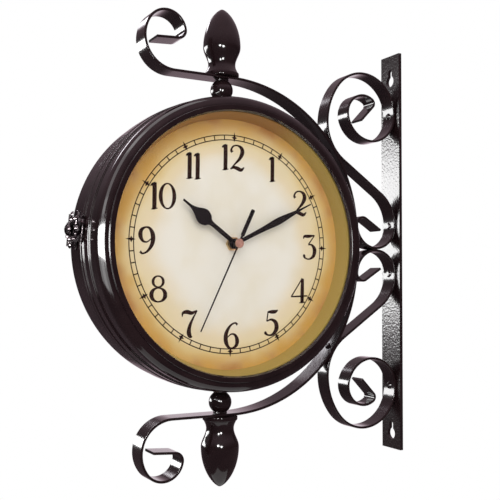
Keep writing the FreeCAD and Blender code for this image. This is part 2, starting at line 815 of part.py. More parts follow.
def build_movement_case(side, rotation):
    """Moulded case with the threaded neck, and the back cover that carries the posts."""
    half = "movement_half"
    tray = block(f"{side}_tray", (f"-{half}", half), ("-movement_low", "movement_high"),
                 ("movement_back", "dial_back"))
    neck = cylinder(f"{side}_neck", "neck_radius", "neck_top - (ceiling)", ("0", "0", "ceiling"))
    post = cylinder(f"{side}_motion_post", "post_radius", "ceiling - (floor + motion_level) + run_gap",
                    ("0", MOTION_AT, "floor + motion_level - run_gap"))
    inner = "(movement_half - movement_wall)"
    chamber = block(f"{side}_chamber", (f"-{inner}", inner),
                    ("-divider_below", "movement_high - movement_wall"),
                    ("movement_back - overrun", "ceiling"))
    bay = block(f"{side}_bay", (f"-{inner}", inner), ("-(bay_low)", "-(bay_top)"),
                ("movement_back - overrun", "ceiling"))
    bore = cylinder(f"{side}_neck_bore", "bush_bore", "neck_top", ("0", "0", "ceiling - overrun"))
    third = cylinder(f"{side}_third_hole", "arbor_radius + fit_gap", "dial_back",
                     (THIRD_AT, "0", "ceiling - overrun"))
    hollow = cut(f"{side}_tray_hollow", tray, [chamber, bay])
    whole = fuse(f"{side}_tray_whole", [hollow, neck, post])
    keep(cut(f"{side}_movement_case", whole, [bore, third]), rotation)
    build_movement_cover(side, rotation, inner)


def build_movement_cover(side, rotation, inner):
    """Back cover of the wheels' chamber: plate, bearing boss of the setting knob and two posts."""
    edge = f"{inner} - fit_gap"
    plate = block(f"{side}_cover_plate", (f"-({edge})", edge),
                  ("-divider_below + fit_gap", "movement_high - movement_wall - fit_gap"),
                  ("movement_back", "floor"))
    boss = cylinder(f"{side}_knob_boss", "knob_boss", "knob_boss_height", ("0", KNOB_AT, "floor"))
    drive = cylinder(f"{side}_drive_post", "arbor_radius", "third_level - run_gap",
                     (f"-({DRIVE_AT})", "0", "floor"))
    rotor = cylinder(f"{side}_rotor_post", "arbor_radius", "second_level + rotor_rise + rotor_height",
                     (f"-({ROTOR_AT})", "0", "floor"))
    whole = fuse(f"{side}_cover_whole", [plate, boss, drive, rotor])
    holes = [cylinder(f"{side}_cover_hole_{name}", f"{radius} + fit_gap", "floor + knob_boss_height",
                      (across, up, "0"))
             for name, radius, across, up in (("second", "arbor_radius", "0", "0"),
                                              ("third", "arbor_radius", THIRD_AT, "0"),
                                              ("knob", "knob_arbor", "0", KNOB_AT))]
    keep(cut(f"{side}_movement_cover", whole, holes), rotation)


def build_nut(side, rotation):
    """Hexagon nut that clamps the movement to the dial."""
    prism = DOC.addObject("Part::Prism", f"{side}_nut_blank")
    prism.Polygon = 6
    bind(prism, Circumradius="nut_radius", Height="nut_thick")
    bind_place(prism, ("0", "0", "dial_front"))
    hole = cylinder(f"{side}_nut_hole", "neck_radius + fit_gap", "dial_front + nut_thick * 2")
    keep(cut(f"{side}_dial_nut", prism, [hole]), rotation)


def build_power(side, rotation):
    """Battery, and the motor board: circuit board, coil, stator and the two battery contacts."""
    drop = "-(battery_drop)"
    can = cylinder(f"{side}_battery_can", "battery_diameter / 2", "battery_length - battery_nub_length",
                   ("-battery_length / 2", drop, "battery_level"), "x")
    nub = cylinder(f"{side}_battery_nub", "battery_nub", "battery_length",
                   ("-battery_length / 2", drop, "battery_level"), "x")
    keep(fuse(f"{side}_battery", [can, nub]), rotation)
    inner = "(movement_half - movement_wall)"
    half = "contact_size / 2"
    contacts = []
    for end, low, high in (("plus", "battery_length / 2 + run_gap", inner),
                           ("minus", f"-{inner}", "-battery_length / 2 - run_gap")):
        contacts.append(block(f"{side}_contact_{end}", (low, high),
                              (f"{drop} - {half}", f"{drop} + {half}"),
                              (f"battery_level - {half}", f"battery_level + {half}")))
    board = block(f"{side}_board", (f"{inner} - run_gap - board_length", f"{inner} - run_gap"),
                  ("board_low", "board_low + board_height"), ("floor", "floor + board_thick"))
    low = "floor + second_level + stator_rise - run_gap"
    middle = f"-({ROTOR_AT})"
    plate = block(f"{side}_stator_plate", (f"{middle} - stator_side", f"{middle} + stator_side"),
                  ("-stator_low", "board_low"), (low, f"{low} + stator_thick"))
    eye = cylinder(f"{side}_stator_eye", "rotor_radius + open_gap", "dial_back", (middle, "0", "0"))
    stator = cut(f"{side}_stator", plate, [eye])
    coil = cylinder(f"{side}_coil", "coil_radius", f"{inner} - coil_clear - coil_offset",
                    (f"coil_clear - {inner}", "board_low + coil_radius", f"{low} + stator_thick / 2"), "x")
    keep(group(f"{side}_motor_board", [board, stator, coil] + contacts), rotation)


def toothed(teeth, module, phase, low, high, middle):
    """A disc of straight-flanked teeth between two levels, with one tooth at the phase angle."""
    pitch = math.tau / teeth
    radius = module * teeth / 2
    tip = radius + module * TIP_RISE_SHARE
    root = radius - module * ROOT_DROP_SHARE
    points = []
    for tooth in range(teeth):
        for reach, share in ((root, -ROOT_HALF_SHARE), (tip, -TIP_HALF_SHARE),
                             (tip, TIP_HALF_SHARE), (root, ROOT_HALF_SHARE)):
            angle = phase + (tooth + share) * pitch
            points.append(middle + Vector(reach * math.cos(angle), reach * math.sin(angle), low))
    face = Part.Face(Part.makePolygon(points + points[:1]))
    return face.extrude(Vector(0, 0, high - low))


def meshing_phase(teeth, phase, direction, other_teeth):
    """Phase of a wheel that meshes with another one in a direction from that other one's middle."""
    offset = (direction - phase) * teeth / math.tau
    return direction + math.pi - (0.5 - offset) * math.tau / other_teeth


class Train:
    """The wheels of one movement, from the motor's rotor to the hour pipe."""

    def __init__(self, side, rotation):
        self.side = side
        self.rotation = rotation
        self.floor = number("floor")
        self.thick = number("wheel_thick")
        self.over = number("pinion_over")
        self.middle = Vector()
        self.third = Vector(number(THIRD_AT), 0, 0)
        self.drive = Vector(-number(DRIVE_AT), 0, 0)
        self.rotor = Vector(-number(ROTOR_AT), 0, 0)
        self.motion = Vector(0, number(MOTION_AT), 0)
        self.knob = Vector(0, number(KNOB_AT), 0)

    def level(self, name):
        """Underside of a wheel above the seam."""
        return self.floor + number(name)

    def wheel(self, teeth, module, phase, level, middle):
        """A thin wheel at its level."""
        low = self.level(level)
        return toothed(teeth, module, phase, low, low + self.thick, middle)

    def pinion(self, teeth, module, phase, level, middle):
        """A pinion that stands out above and below the wheel which it meets at a level."""
        low = self.level(level)
        return toothed(teeth, module, phase, low - self.over, low + self.thick + self.over, middle)

    def rod(self, radius, low, high, middle):
        """A round arbor between two levels."""
        return Part.makeCylinder(radius, high - low, middle + Vector(0, 0, low))

    def finish(self, name, solids, bore=None):
        """One turning piece from its solids, bored through where it runs on a post or arbor."""
        shape = solids[0].multiFuse(solids[1:]).removeSplitter()
        if bore:
            radius, middle = bore
            box = shape.BoundBox
            shape = shape.cut(self.rod(radius, box.ZMin - self.over, box.ZMax + self.over, middle))
        worked_out(f"{self.side}_{name}", shape, self.rotation)

    def second(self):
        """Second wheel with its pinion and the long arbor that carries the second hand."""
        module = number("train_module")
        hand = number("second_hand_level")
        arbor = self.rod(number("arbor_radius"), number("movement_back"), hand, self.middle)
        self.finish("second_wheel", [
            arbor,
            self.wheel(SECOND_WHEEL_TEETH, number("drive_module"), 0, "second_level", self.middle),
            self.pinion(SECOND_PINION_TEETH, module, 0, "third_level", self.middle),
        ])

    def third_wheel(self):
        """Third wheel, driven by the second pinion, with the pinion that drives the centre wheel."""
        phase = meshing_phase(SECOND_PINION_TEETH, 0, 0, THIRD_WHEEL_TEETH)
        self.finish("third_wheel", [
            self.rod(number("arbor_radius"), number("movement_back"), number("dial_back"), self.third),
            self.wheel(THIRD_WHEEL_TEETH, number("train_module"), phase, "third_level", self.third),
            self.pinion(THIRD_PINION_TEETH, number(CENTRE_MODULE), 0, "centre_level", self.third),
        ])

    def centre(self):
        """Centre wheel and cannon pinion on the minute pipe."""
        phase = meshing_phase(THIRD_PINION_TEETH, 0, math.pi, CENTRE_WHEEL_TEETH)
        low = self.level("centre_level") - self.over
        pipe = self.rod(number("minute_pipe"), low, number("minute_hand_level + hand_thick"), self.middle)
        self.finish("minute_wheel", [
            pipe,
            self.wheel(CENTRE_WHEEL_TEETH, number(CENTRE_MODULE), phase, "centre_level", self.middle),
            self.pinion(CANNON_PINION_TEETH, number("motion_module"), 0, "motion_level", self.middle),
        ], (number("arbor_radius + pipe_gap"), self.middle))
        return phase

    def motion_work(self):
        """Motion wheel on its post, and the hour wheel on the hour pipe."""
        up = math.pi / 2
        module = number("motion_module")
        phase = meshing_phase(CANNON_PINION_TEETH, 0, up, MOTION_WHEEL_TEETH)
        low = self.level("motion_level")
        top = self.level("hour_level") + self.thick + self.over
        leaf = toothed(MOTION_PINION_TEETH, module, 0, low, top, self.motion)
        self.finish("motion_wheel", [
            leaf,
            self.wheel(MOTION_WHEEL_TEETH, module, phase, "motion_level", self.motion),
        ], (number("post_radius + pipe_gap"), self.motion))
        hour_phase = meshing_phase(MOTION_PINION_TEETH, 0, -up, HOUR_WHEEL_TEETH)
        hand = number("hour_hand_level + hand_thick")
        pipe = self.rod(number("hour_pipe"), self.level("hour_level"), hand, self.middle)
        self.finish("hour_wheel", [
            pipe,
            self.wheel(HOUR_WHEEL_TEETH, module, hour_phase, "hour_level", self.middle),
        ], (number("minute_pipe + pipe_gap"), self.middle))

    def motor(self):
        """Drive wheel between the rotor and the second wheel, and the rotor with its magnet."""
        module = number("drive_module")
        pinion_phase = meshing_phase(SECOND_WHEEL_TEETH, 0, math.pi, DRIVE_PINION_TEETH)
        low = self.level("drive_level")
        leaf_top = self.level("second_level") + self.thick + self.over
        leaf = toothed(DRIVE_PINION_TEETH, module, pinion_phase, low, leaf_top, self.drive)
        bore = number("arbor_radius + pipe_gap")
        self.finish("drive_wheel", [
            leaf,
            self.wheel(DRIVE_WHEEL_TEETH, module, 0, "drive_level", self.drive),
        ], (bore, self.drive))
        rotor_phase = meshing_phase(DRIVE_WHEEL_TEETH, 0, math.pi, ROTOR_PINION_TEETH)
        magnet_low = self.level("second_level") + number("rotor_rise")
        magnet = self.rod(number("rotor_radius"), magnet_low, magnet_low + number("rotor_height"), self.rotor)
        leaves = toothed(ROTOR_PINION_TEETH, module, rotor_phase, low, magnet_low, self.rotor)
        self.finish("rotor", [leaves, magnet], (bore, self.rotor))

    def setting(self, centre_phase):
        """Setting knob at the back, with the pinion that turns the centre wheel."""
        top = number("movement_back") - number("run_gap")
        disc = self.rod(number("knob_radius"), top - number("knob_thick"), top, self.knob)
        rod_top = self.level("centre_level") + self.thick + self.over
        phase = meshing_phase(CENTRE_WHEEL_TEETH, centre_phase, math.pi / 2, KNOB_PINION_TEETH)
        self.finish("setting_knob", [
            disc,
            self.rod(number("knob_arbor"), top, rod_top, self.knob),
            self.pinion(KNOB_PINION_TEETH, number(CENTRE_MODULE), phase, "centre_level", self.knob),
        ])

    def build(self):
        """Make every wheel of the train."""
        self.second()
        self.third_wheel()
        centre_phase = self.centre()
        self.motion_work()
        self.motor()
        self.setting(centre_phase)


def build_hands(side, rotation):
    """Hour, minute and second hands, each drawn towards twelve and turned to its rest angle."""
    def turn(angle):
        return rotation.multiply(Rotation(Vector(0, 0, 1), -angle))

    low = "hour_hand_level"
    top = f"{low} + hand_thick"
    stem = block(f"{side}_hour_stem", ("-hour_stem / 2", "hour_stem / 2"), ("0", "hour_disc_at"), (low, top))
    spike = block(f"{side}_hour_spike", ("-hour_tip / 2", "hour_tip / 2"), ("hour_disc_at", "hour_length"),
                  (low, top))
    disc = cylinder(f"{side}_hour_spade", "hour_disc", "hand_thick", ("0", "hour_disc_at", low))
    boss = cylinder(f"{side}_hour_boss", "hour_boss", "hand_thick", ("0", "0", low))
    pipe = cylinder(f"{side}_hour_seat", "hour_pipe + fit_gap", "hour_hand_level * 2", ("0", "0", "0"))
    blade = fuse(f"{side}_hour_blade", [stem, spike, disc, boss])
    keep(cut(f"{side}_hour_hand", blade, [pipe]), turn(HOUR_ANGLE))

    low = "minute_hand_level"
    leaf = flat_piece(f"{side}_minute_leaf", [
        ("-minute_stem / 2", "0"),
        ("minute_stem / 2", "0"),
        ("minute_leaf / 2", "minute_leaf_at"),
        ("minute_tip / 2", "minute_length"),
        ("-minute_tip / 2", "minute_length"),
        ("-minute_leaf / 2", "minute_leaf_at"),
    ], low, "hand_thick")
    boss = cylinder(f"{side}_minute_boss", "minute_boss", "minute_boss_height",
                    ("0", "0", "minute_hand_level + hand_thick / 2 - minute_boss_height / 2"))
    pipe = cylinder(f"{side}_minute_seat", "minute_pipe + fit_gap", "minute_hand_level * 2", ("0", "0", "0"))
    blade = fuse(f"{side}_minute_blade", [leaf, boss])
    keep(cut(f"{side}_minute_hand", blade, [pipe]), turn(MINUTE_ANGLE))

    low = "second_hand_level"
    needle = flat_piece(f"{side}_second_needle", [
        ("-second_needle / 2", "0"),
        ("second_needle / 2", "0"),
        ("second_tip / 2", "second_length"),
        ("-second_tip / 2", "second_length"),
    ], low, "hand_thick")
    stalk = block(f"{side}_second_stalk", ("-second_needle / 2", "second_needle / 2"),
                  ("-second_paddle_at", "0"), (low, f"{low} + hand_thick"))
    paddle = block(f"{side}_second_paddle", ("-second_paddle / 2", "second_paddle / 2"),
                   ("-second_tail + second_paddle / 2", "-second_paddle_at"), (low, f"{low} + hand_thick"))
    end = cylinder(f"{side}_second_end", "second_paddle / 2", "hand_thick",
                   ("0", "-second_tail + second_paddle / 2", low))
    cap = cylinder(f"{side}_second_cap", "second_cap", "hand_thick + second_cap_rise", ("0", "0", low))
    keep(fuse(f"{side}_second_hand", [needle, stalk, paddle, end, cap]), turn(SECOND_ANGLE))


def build_half(side, rotation):
    """Everything that one half of the drum holds."""
    build_case_half(side, rotation)
    build_movement_case(side, rotation)
    build_nut(side, rotation)
    build_power(side, rotation)
    Train(side, rotation).build()
    build_hands(side, rotation)


def build_seam_ring():
    """Ring inside the seam: seated in the rear shell, with a lip that the front shell closes over."""
    ring = turned("seam_ring_blank", [
        ("seam_ring_bore", "-seam_ring_rear"),
        ("shell_bore - fit_gap", "-seam_ring_rear"),
        ("shell_bore - fit_gap", "-seam_half"),
        ("shell_bore - open_gap", "-seam_half"),
        ("shell_bore - open_gap", "seam_ring_front"),
        ("seam_ring_bore", "seam_ring_front"),
    ])
    notch = pivot_notch("seam_ring_notch", "bush_diameter / 2 + fit_gap")
    keep(cut("seam_ring", ring, [notch]), TURN_TO_FRONT)


def curved_plate(name, thick, height, low, high):
    """A plate bent to the drum's band, centred on the X axis, between two levels."""
    outer = cylinder(f"{name}_outside", f"case_radius + {thick}", f"({high}) - ({low})", ("0", "0", low))
    inner = cylinder(f"{name}_inside", "case_radius", f"({high}) - ({low})", ("0", "0", low))
    tube = cut(f"{name}_tube", outer, [inner])
    half = f"({height}) / 2"
    window = block(f"{name}_window", ("0", "case_radius * 2"), (f"-{half}", half), (low, high))
    return common(name, [tube, window])


def knuckle(name, radius, axis, span, web):
    """A knuckle along Y about an axis, given as (across, level), with the web that joins it to its plate."""
    low, high = span
    barrel = cylinder(f"{name}_barrel", radius, f"({high}) - ({low})", (axis[0], low, axis[1]), "y")
    return [barrel, block(f"{name}_web", ("case_radius + fit_gap", axis[0]), span, web)]


def hinge_bore(name):
    """The hole for the hinge pin."""
    start = ("hinge_axis", "-leaf_height", "0")
    return cylinder(name, "hinge_pin_radius + fit_gap", "leaf_height * 2", start, "y")


def build_hinge():
    """Case hinge at the wall side: a leaf on each half, knuckles in between and a pin."""
    gap = "(knuckle_radius + run_gap)"
    sixth = "leaf_height / 6"
    axis = ("hinge_axis", "0")
    front = curved_plate("hinge_front_plate", "leaf_thick", "leaf_height", gap, f"{gap} + leaf_width")
    parts = knuckle("hinge_middle", "knuckle_radius", axis, (f"-{sixth} + run_gap", f"{sixth} - run_gap"),
                    ("0", f"{gap} + leaf_thick"))
    whole = fuse("hinge_front_whole", [front] + parts)
    keep(cut("hinge_front_leaf", whole, [hinge_bore("hinge_front_bore")]), TURN_TO_FRONT)
    rear = curved_plate("hinge_rear_plate", "leaf_thick", "leaf_height", f"-{gap} - leaf_width", f"-{gap}")
    parts = []
    for name, span in (("lower", ("-leaf_height / 2", f"-{sixth}")), ("upper", (sixth, "leaf_height / 2"))):
        parts += knuckle(f"hinge_{name}", "knuckle_radius", axis, span, (f"-{gap} - leaf_thick", "0"))
    whole = fuse("hinge_rear_whole", [rear] + parts)
    keep(cut("hinge_rear_leaf", whole, [hinge_bore("hinge_rear_bore")]), TURN_TO_FRONT)
    start = ("hinge_axis", "-leaf_height / 2", "0")
    pin = cylinder("hinge_pin_rod", "hinge_pin_radius", "leaf_height", start, "y")
    keep(group("hinge_pin", [pin]), TURN_TO_FRONT)


def clasp_bore(name):
    """The hole for the clasp's pin."""
    return cylinder(name, "clasp_pin_radius + fit_gap", "clasp_height * 2",
                    ("clasp_axis", "-clasp_height", "-clasp_pin_back"), "y")


def build_clasp():
    """Clasp opposite the hinge: a plate on the rear half, a tongue on a pin and a catch on the front half."""
    rotation = TURN_TO_FRONT.multiply(CLASP_TURN)
    back = "-clasp_pin_back"
    half = "tongue_barrel / 2"
    ear = "tongue_height / 2"
    plate = curved_plate("clasp_rear_plate", "clasp_plate_thick", "clasp_height",
                         "-clasp_rear", "-clasp_seam")
    parts = []
    for name, span in (("lower", (f"-{ear}", f"-{half} - run_gap")), ("upper", (f"{half} + run_gap", ear))):
        parts += knuckle(f"clasp_{name}", "clasp_knuckle", ("clasp_axis", back), span,
                         (f"{back} - clasp_knuckle", f"{back} + clasp_knuckle"))
    whole = fuse("clasp_plate_whole", [plate] + parts)
    keep(cut("clasp_plate", whole, [clasp_bore("clasp_plate_bore")]), rotation)
    pin = cylinder("clasp_pin_rod", "clasp_pin_radius", "tongue_height", ("clasp_axis", f"-{ear}", back), "y")
    keep(group("clasp_pin", [pin]), rotation)
    build_clasp_tongue(rotation, back, half, ear)
    catch = curved_plate("clasp_catch_plate", "clasp_plate_thick", "clasp_height",
                         "clasp_seam", "clasp_front")
    nub = block("clasp_nub", ("case_radius + fit_gap", "tongue_low - run_gap"), (f"-{half}", half),
                ("clasp_front - tongue_lip * 2", "clasp_front - tongue_lip"))
    keep(fuse("clasp_catch", [catch, nub]), rotation)


def build_clasp_tongue(rotation, back, half, ear):
    """Tongue of the clasp: a barrel on the pin, a plate across the seam, a boss and a lip to lift it by."""
    start = ("clasp_axis", f"-{half}", back)
    barrel = cylinder("tongue_barrel_rod", "clasp_knuckle", "tongue_barrel", start, "y")
    neck = block("tongue_neck", ("tongue_low", "tongue_low + tongue_thick"), (f"-{half}", half),
                 (back, f"{back} + clasp_knuckle + tongue_lip"))
    plate = block("tongue_plate", ("tongue_low", "tongue_low + tongue_thick"), (f"-{ear}", ear),
                  (f"{back} + clasp_knuckle + run_gap", "clasp_front - run_gap"))
    boss = cylinder("tongue_boss_disc", "tongue_boss", "tongue_thick + tongue_boss_rise",
                    ("tongue_low", "0", "-tongue_boss_back"), "x")
    lip = block("tongue_lip_bar", ("tongue_low", "tongue_low + tongue_thick + tongue_lip_rise"),
                (f"-{half}", half),
                ("clasp_front - run_gap - tongue_lip", "clasp_front - run_gap"))
    whole = fuse("tongue_whole", [barrel, neck, plate, boss, lip])
    keep(cut("clasp_tongue", whole, [clasp_bore("tongue_bore")]), rotation)


def check_and_write():
    """Recompute, refuse any failed or empty piece, and write each piece to its own file."""
    DOC.recompute()
    failed = [item.Name for item in DOC.Objects if "Invalid" in item.State or "Error" in item.State]
    failed += [item.Label for item in PIECES if item.Shape.isNull() or not item.Shape.isValid()]
    if failed:
        raise RuntimeError(f"failed: {failed}")
    os.makedirs("parts", exist_ok=True)
    for item in PIECES:
        item.Shape.exportStep(f"parts/{item.Label}.step")
        print(f"{item.Label}: {len(item.Shape.Solids)} solids, {item.Shape.Volume:.1f} mm3")


fill_sheet()
build_bracket()
build_pivots()
build_half("front", TURN_TO_FRONT)
build_half("rear", HALF_TURN.multiply(TURN_TO_FRONT))
build_seam_ring()
build_hinge()
build_clasp()
check_and_write()
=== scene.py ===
import json
import logging
import math
from dataclasses import dataclass, field
from enum import Enum
from functools import cache

import bpy
import numpy as np
from mathutils import Matrix, Vector


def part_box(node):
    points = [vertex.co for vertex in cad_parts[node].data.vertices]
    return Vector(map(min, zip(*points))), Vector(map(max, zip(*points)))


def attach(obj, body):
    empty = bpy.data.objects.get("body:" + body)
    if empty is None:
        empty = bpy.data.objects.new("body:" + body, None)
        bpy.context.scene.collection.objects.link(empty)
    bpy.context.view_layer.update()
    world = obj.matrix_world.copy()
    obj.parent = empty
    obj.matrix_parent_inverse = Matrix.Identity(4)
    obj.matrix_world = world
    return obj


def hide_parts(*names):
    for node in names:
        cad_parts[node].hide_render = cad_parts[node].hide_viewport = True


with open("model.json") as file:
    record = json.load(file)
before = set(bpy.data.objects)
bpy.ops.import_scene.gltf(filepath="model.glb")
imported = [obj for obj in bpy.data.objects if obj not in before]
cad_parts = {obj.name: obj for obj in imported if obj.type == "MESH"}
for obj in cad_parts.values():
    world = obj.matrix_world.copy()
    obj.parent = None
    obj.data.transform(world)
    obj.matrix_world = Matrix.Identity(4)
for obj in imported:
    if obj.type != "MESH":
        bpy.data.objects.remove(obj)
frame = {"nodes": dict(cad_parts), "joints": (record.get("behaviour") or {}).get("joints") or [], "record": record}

Array = np.ndarray
Colour = tuple[float, float, float]
Inputs = dict[str | int, object]
Piece = bpy.types.Object
Socket = bpy.types.NodeSocket
Span = tuple[float, float]

LOG = logging.getLogger("wall_clock")
MM = 0.001
TINY = 1e-9
UNIT: Span = (0.0, 1.0)
WHITE: Colour = (1.0, 1.0, 1.0)
SMOOTH_LIMIT = math.radians(32)
SWIVEL = next(joint for joint in frame["joints"] if joint["name"] == "drum_swivel")
CENTRE = np.array(SWIVEL["pos_m"], float)
CLASP_SINE, CLASP_COSINE = 0.0732, 0.9973


class Turn(Enum):
    """How a piece's own right, up and out axes lie in the row frame, one row for each of X, Y and Z."""

    FRONT = ((1, 0, 0), (0, 0, -1), (0, 1, 0))
    REAR = ((-1, 0, 0), (0, 0, 1), (0, 1, 0))
    CLASP = ((0, CLASP_SINE, -CLASP_COSINE), (-1, 0, 0), (0, CLASP_COSINE, CLASP_SINE))
    ABOVE = ((1, 0, 0), (0, 1, 0), (0, 0, 1))
    BELOW = ((1, 0, 0), (0, -1, 0), (0, 0, -1))


class Side(Enum):
    """The two faces of the clock: first word of their nodes, body that carries them and the way they look."""

    FRONT = ("front", "front_half", Turn.FRONT)
    REAR = ("rear", "drum", Turn.REAR)

    def __init__(self, prefix: str, body: str, turn: Turn) -> None:
        """Give the three values their names."""
        self.prefix, self.body, self.turn = prefix, body, turn

    def levels(self, node: str) -> Span:
        """Reach of a node of this side along the drum's axis.

        Args:
            node: The node's name without the side.

        Returns:
            Its lowest and highest distance from the drum's middle plane, in millimetres.
        """
        low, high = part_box(f"{self.prefix}_{node}")
        reach = sorted((abs(low.y) / MM, abs(high.y) / MM))
        return reach[0], reach[1]


@dataclass
class Surface:
    """Points and faces of one piece in the drum's millimetres, gathered from several patches."""

    name: str
    turn: Turn
    points: list[Array] = field(default_factory=list)
    faces: list[list[int]] = field(default_factory=list)

    def add(self, points: Array) -> int:
        """Keep some points and give the index of the first."""
        self.points.append(points)
        return sum(map(len, self.points[:-1]))

    def sheet(self, points: Array, closed_rows: bool = False, closed_columns: bool = True,
              capped: bool = False) -> None:
        """Add a grid of points, joined by quads.

        Args:
            points: Rows by columns by three.
            closed_rows: Whether the last row joins the first.
            closed_columns: Whether the last column joins the first.
            capped: Whether the first and last rows are closed with a face each.
        """
        rows, columns = points.shape[:2]
        index = np.arange(rows * columns).reshape(rows, columns) + self.add(points.reshape(-1, 3))
        caps = [index[0, ::-1].tolist(), index[-1].tolist()] if capped else []
        if closed_rows:
            index = np.concatenate([index, index[:1]], axis=0)
        if closed_columns:
            index = np.concatenate([index, index[:, :1]], axis=1)
        corners = (index[:-1, :-1], index[:-1, 1:], index[1:, 1:], index[1:, :-1])
        self.faces += np.stack(corners, axis=-1).reshape(-1, 4).tolist() + caps

    def polygon(self, points: Array) -> None:
        """Add one flat face with these corners."""
        start = self.add(points)
        self.faces.append(list(range(start, start + len(points))))

    def piece(self, finish: "Finish", body: str, slot: str, replaces: tuple[str, ...] = ()) -> Piece:
        """Make the piece and hang it on its body.

        Args:
            finish: What it is made of.
            body: The body it rides on.
            slot: The record's material slot; not used.
            replaces: The nodes it stands for.

        Returns:
            The new object.
        """
        turn = np.array(self.turn.value, float)
        points = np.concatenate(self.points) @ turn.T * MM + CENTRE
        mesh = bpy.data.meshes.new(self.name)
        mesh.from_pydata(points.tolist(), [], self.faces)
        mesh.polygons.foreach_set("use_smooth", np.ones(len(mesh.polygons), bool))
        if signed_volume(mesh) < 0:
            mesh.flip_normals()
        mesh.set_sharp_from_angle(angle=SMOOTH_LIMIT)
        mesh.materials.append(finish.material())
        piece = added(self.name, mesh)
        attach(piece, body)
        if replaces:
            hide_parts(*replaces)
        return piece


def added(name: str, data: bpy.types.ID) -> Piece:
    """Put a new object with this data into the scene.

    Args:
        name: Its name.
        data: Its mesh, lamp or camera.

    Returns:
        The object.
    """
    thing = bpy.data.objects.new(name, data)
    bpy.context.scene.collection.objects.link(thing)
    return thing


def signed_volume(mesh: bpy.types.Mesh) -> float:
    """Six times the volume between a mesh and the drum's centre, below zero where its faces look inwards.

    Args:
        mesh: The mesh.

    Returns:
        The sum of a . (b x c) over its triangles.
    """
    mesh.calc_loop_triangles()
    corners = np.empty(len(mesh.loop_triangles) * 3, np.int32)
    mesh.loop_triangles.foreach_get("vertices", corners)
    places = np.empty(len(mesh.vertices) * 3, np.float32)
    mesh.vertices.foreach_get("co", places)
    first, second, third = (places.reshape(-1, 3) - CENTRE)[corners.reshape(-1, 3)].transpose(1, 0, 2)
    return float(np.einsum("ij,ij->", first, np.cross(second, third)))


def unit(vector: Array) -> Array:
    """A vector divided by its length."""
    return vector / np.linalg.norm(vector)


def left_of(ahead: Array) -> Array:
    """Unit normals to the left of some directions in a plane."""
    side = np.stack([-ahead[:, 1], ahead[:, 0]], axis=-1)
    return side / np.maximum(np.linalg.norm(side, axis=-1, keepdims=True), TINY)


def clockwise(points: Array, angle: float) -> Array:
    """Points of a plane turned clockwise about its middle by an angle in radians."""
    cosine, sine = math.cos(angle), math.sin(angle)
    return points @ np.array([(cosine, -sine), (sine, cosine)])


def rounded(corners: Array, radii: Array, closed: bool = False, steps: int = 6,
            support: float = 0.3) -> Array:
    """A polyline whose corners are rounded by arcs.

    Each arc is a spherical blend of its two end radii a and b over the angle w between them:
    p(t) = c + (sin((1 - t) w) a + sin(t w) b) / sin(w). A point a little outside each end keeps flats flat.

    Args:
        corners: Corners in order.
        radii: Radius of each corner, zero where it stays sharp.
        closed: Whether the last corner joins the first.
        steps: Points of each arc.
        support: Distance of the point outside each end of an arc.

    Returns:
        Points of the line.
    """
    runs: list[Array] = []
    share = np.linspace(0, 1, steps)[:, None]
    for index, (here, radius) in enumerate(zip(corners, radii)):
        if radius == 0 or (not closed and index in (0, len(corners) - 1)):
            runs.append(here[None])
            continue
        back = unit(corners[index - 1] - here)
        ahead = unit(corners[(index + 1) % len(corners)] - here)
        half = math.acos(np.clip(back @ ahead, -1, 1)) / 2
        reach = radius / math.tan(half)
        centre = here + unit(back + ahead) * radius / math.sin(half)
        sweep = math.pi - 2 * half
        start, end = here + back * reach - centre, here + ahead * reach - centre
        arc = centre + (np.sin((1 - share) * sweep) * start + np.sin(share * sweep) * end) / math.sin(sweep)
        runs += [arc[:1] + back * support, arc, arc[-1:] + ahead * support]
    return np.concatenate(runs)


def smooth_line(knots: Array, steps: int = 10) -> Array:
    """A curve through knots: each stretch is a cubic whose end slopes are half the chord of the neighbours.

    Args:
        knots: Points to pass through, with any number of values each.
        steps: Points of each stretch.

    Returns:
        Points along the curve.
    """
    ends = np.concatenate([2 * knots[:1] - knots[1:2], knots, 2 * knots[-1:] - knots[-2:-1]])
    share = np.linspace(0, 1, steps, endpoint=False)[None, :, None]
    first, second, third, fourth = (ends[k:len(ends) - 3 + k, None] for k in range(4))
    curve = second + share * (third - first) / 2
    curve = curve + share**2 * (first - 2.5 * second + 2 * third - fourth / 2)
    curve = curve + share**3 * (1.5 * (second - third) + (fourth - first) / 2)
    return np.concatenate([curve.reshape(-1, knots.shape[1]), knots[-1:]])


def lathe(profile: Array, steps: int) -> Array:
    """A surface of revolution, p(i, t) = (r_i cos t, r_i sin t, h_i).

    Args:
        profile: Radius and height of each row.
        steps: Points round the axis.

    Returns:
        Rows by steps by three.
    """
    angle = np.linspace(0, math.tau, steps, endpoint=False)
    radius, height = profile[:, :1], profile[:, 1:]
    return np.stack([radius * np.cos(angle), radius * np.sin(angle), height + 0 * angle], axis=-1)


def left_at(heading: Array | float) -> Array:
    """Unit normal to the left of a heading in radians."""
    return np.stack([-np.sin(heading), np.cos(heading)], axis=-1)


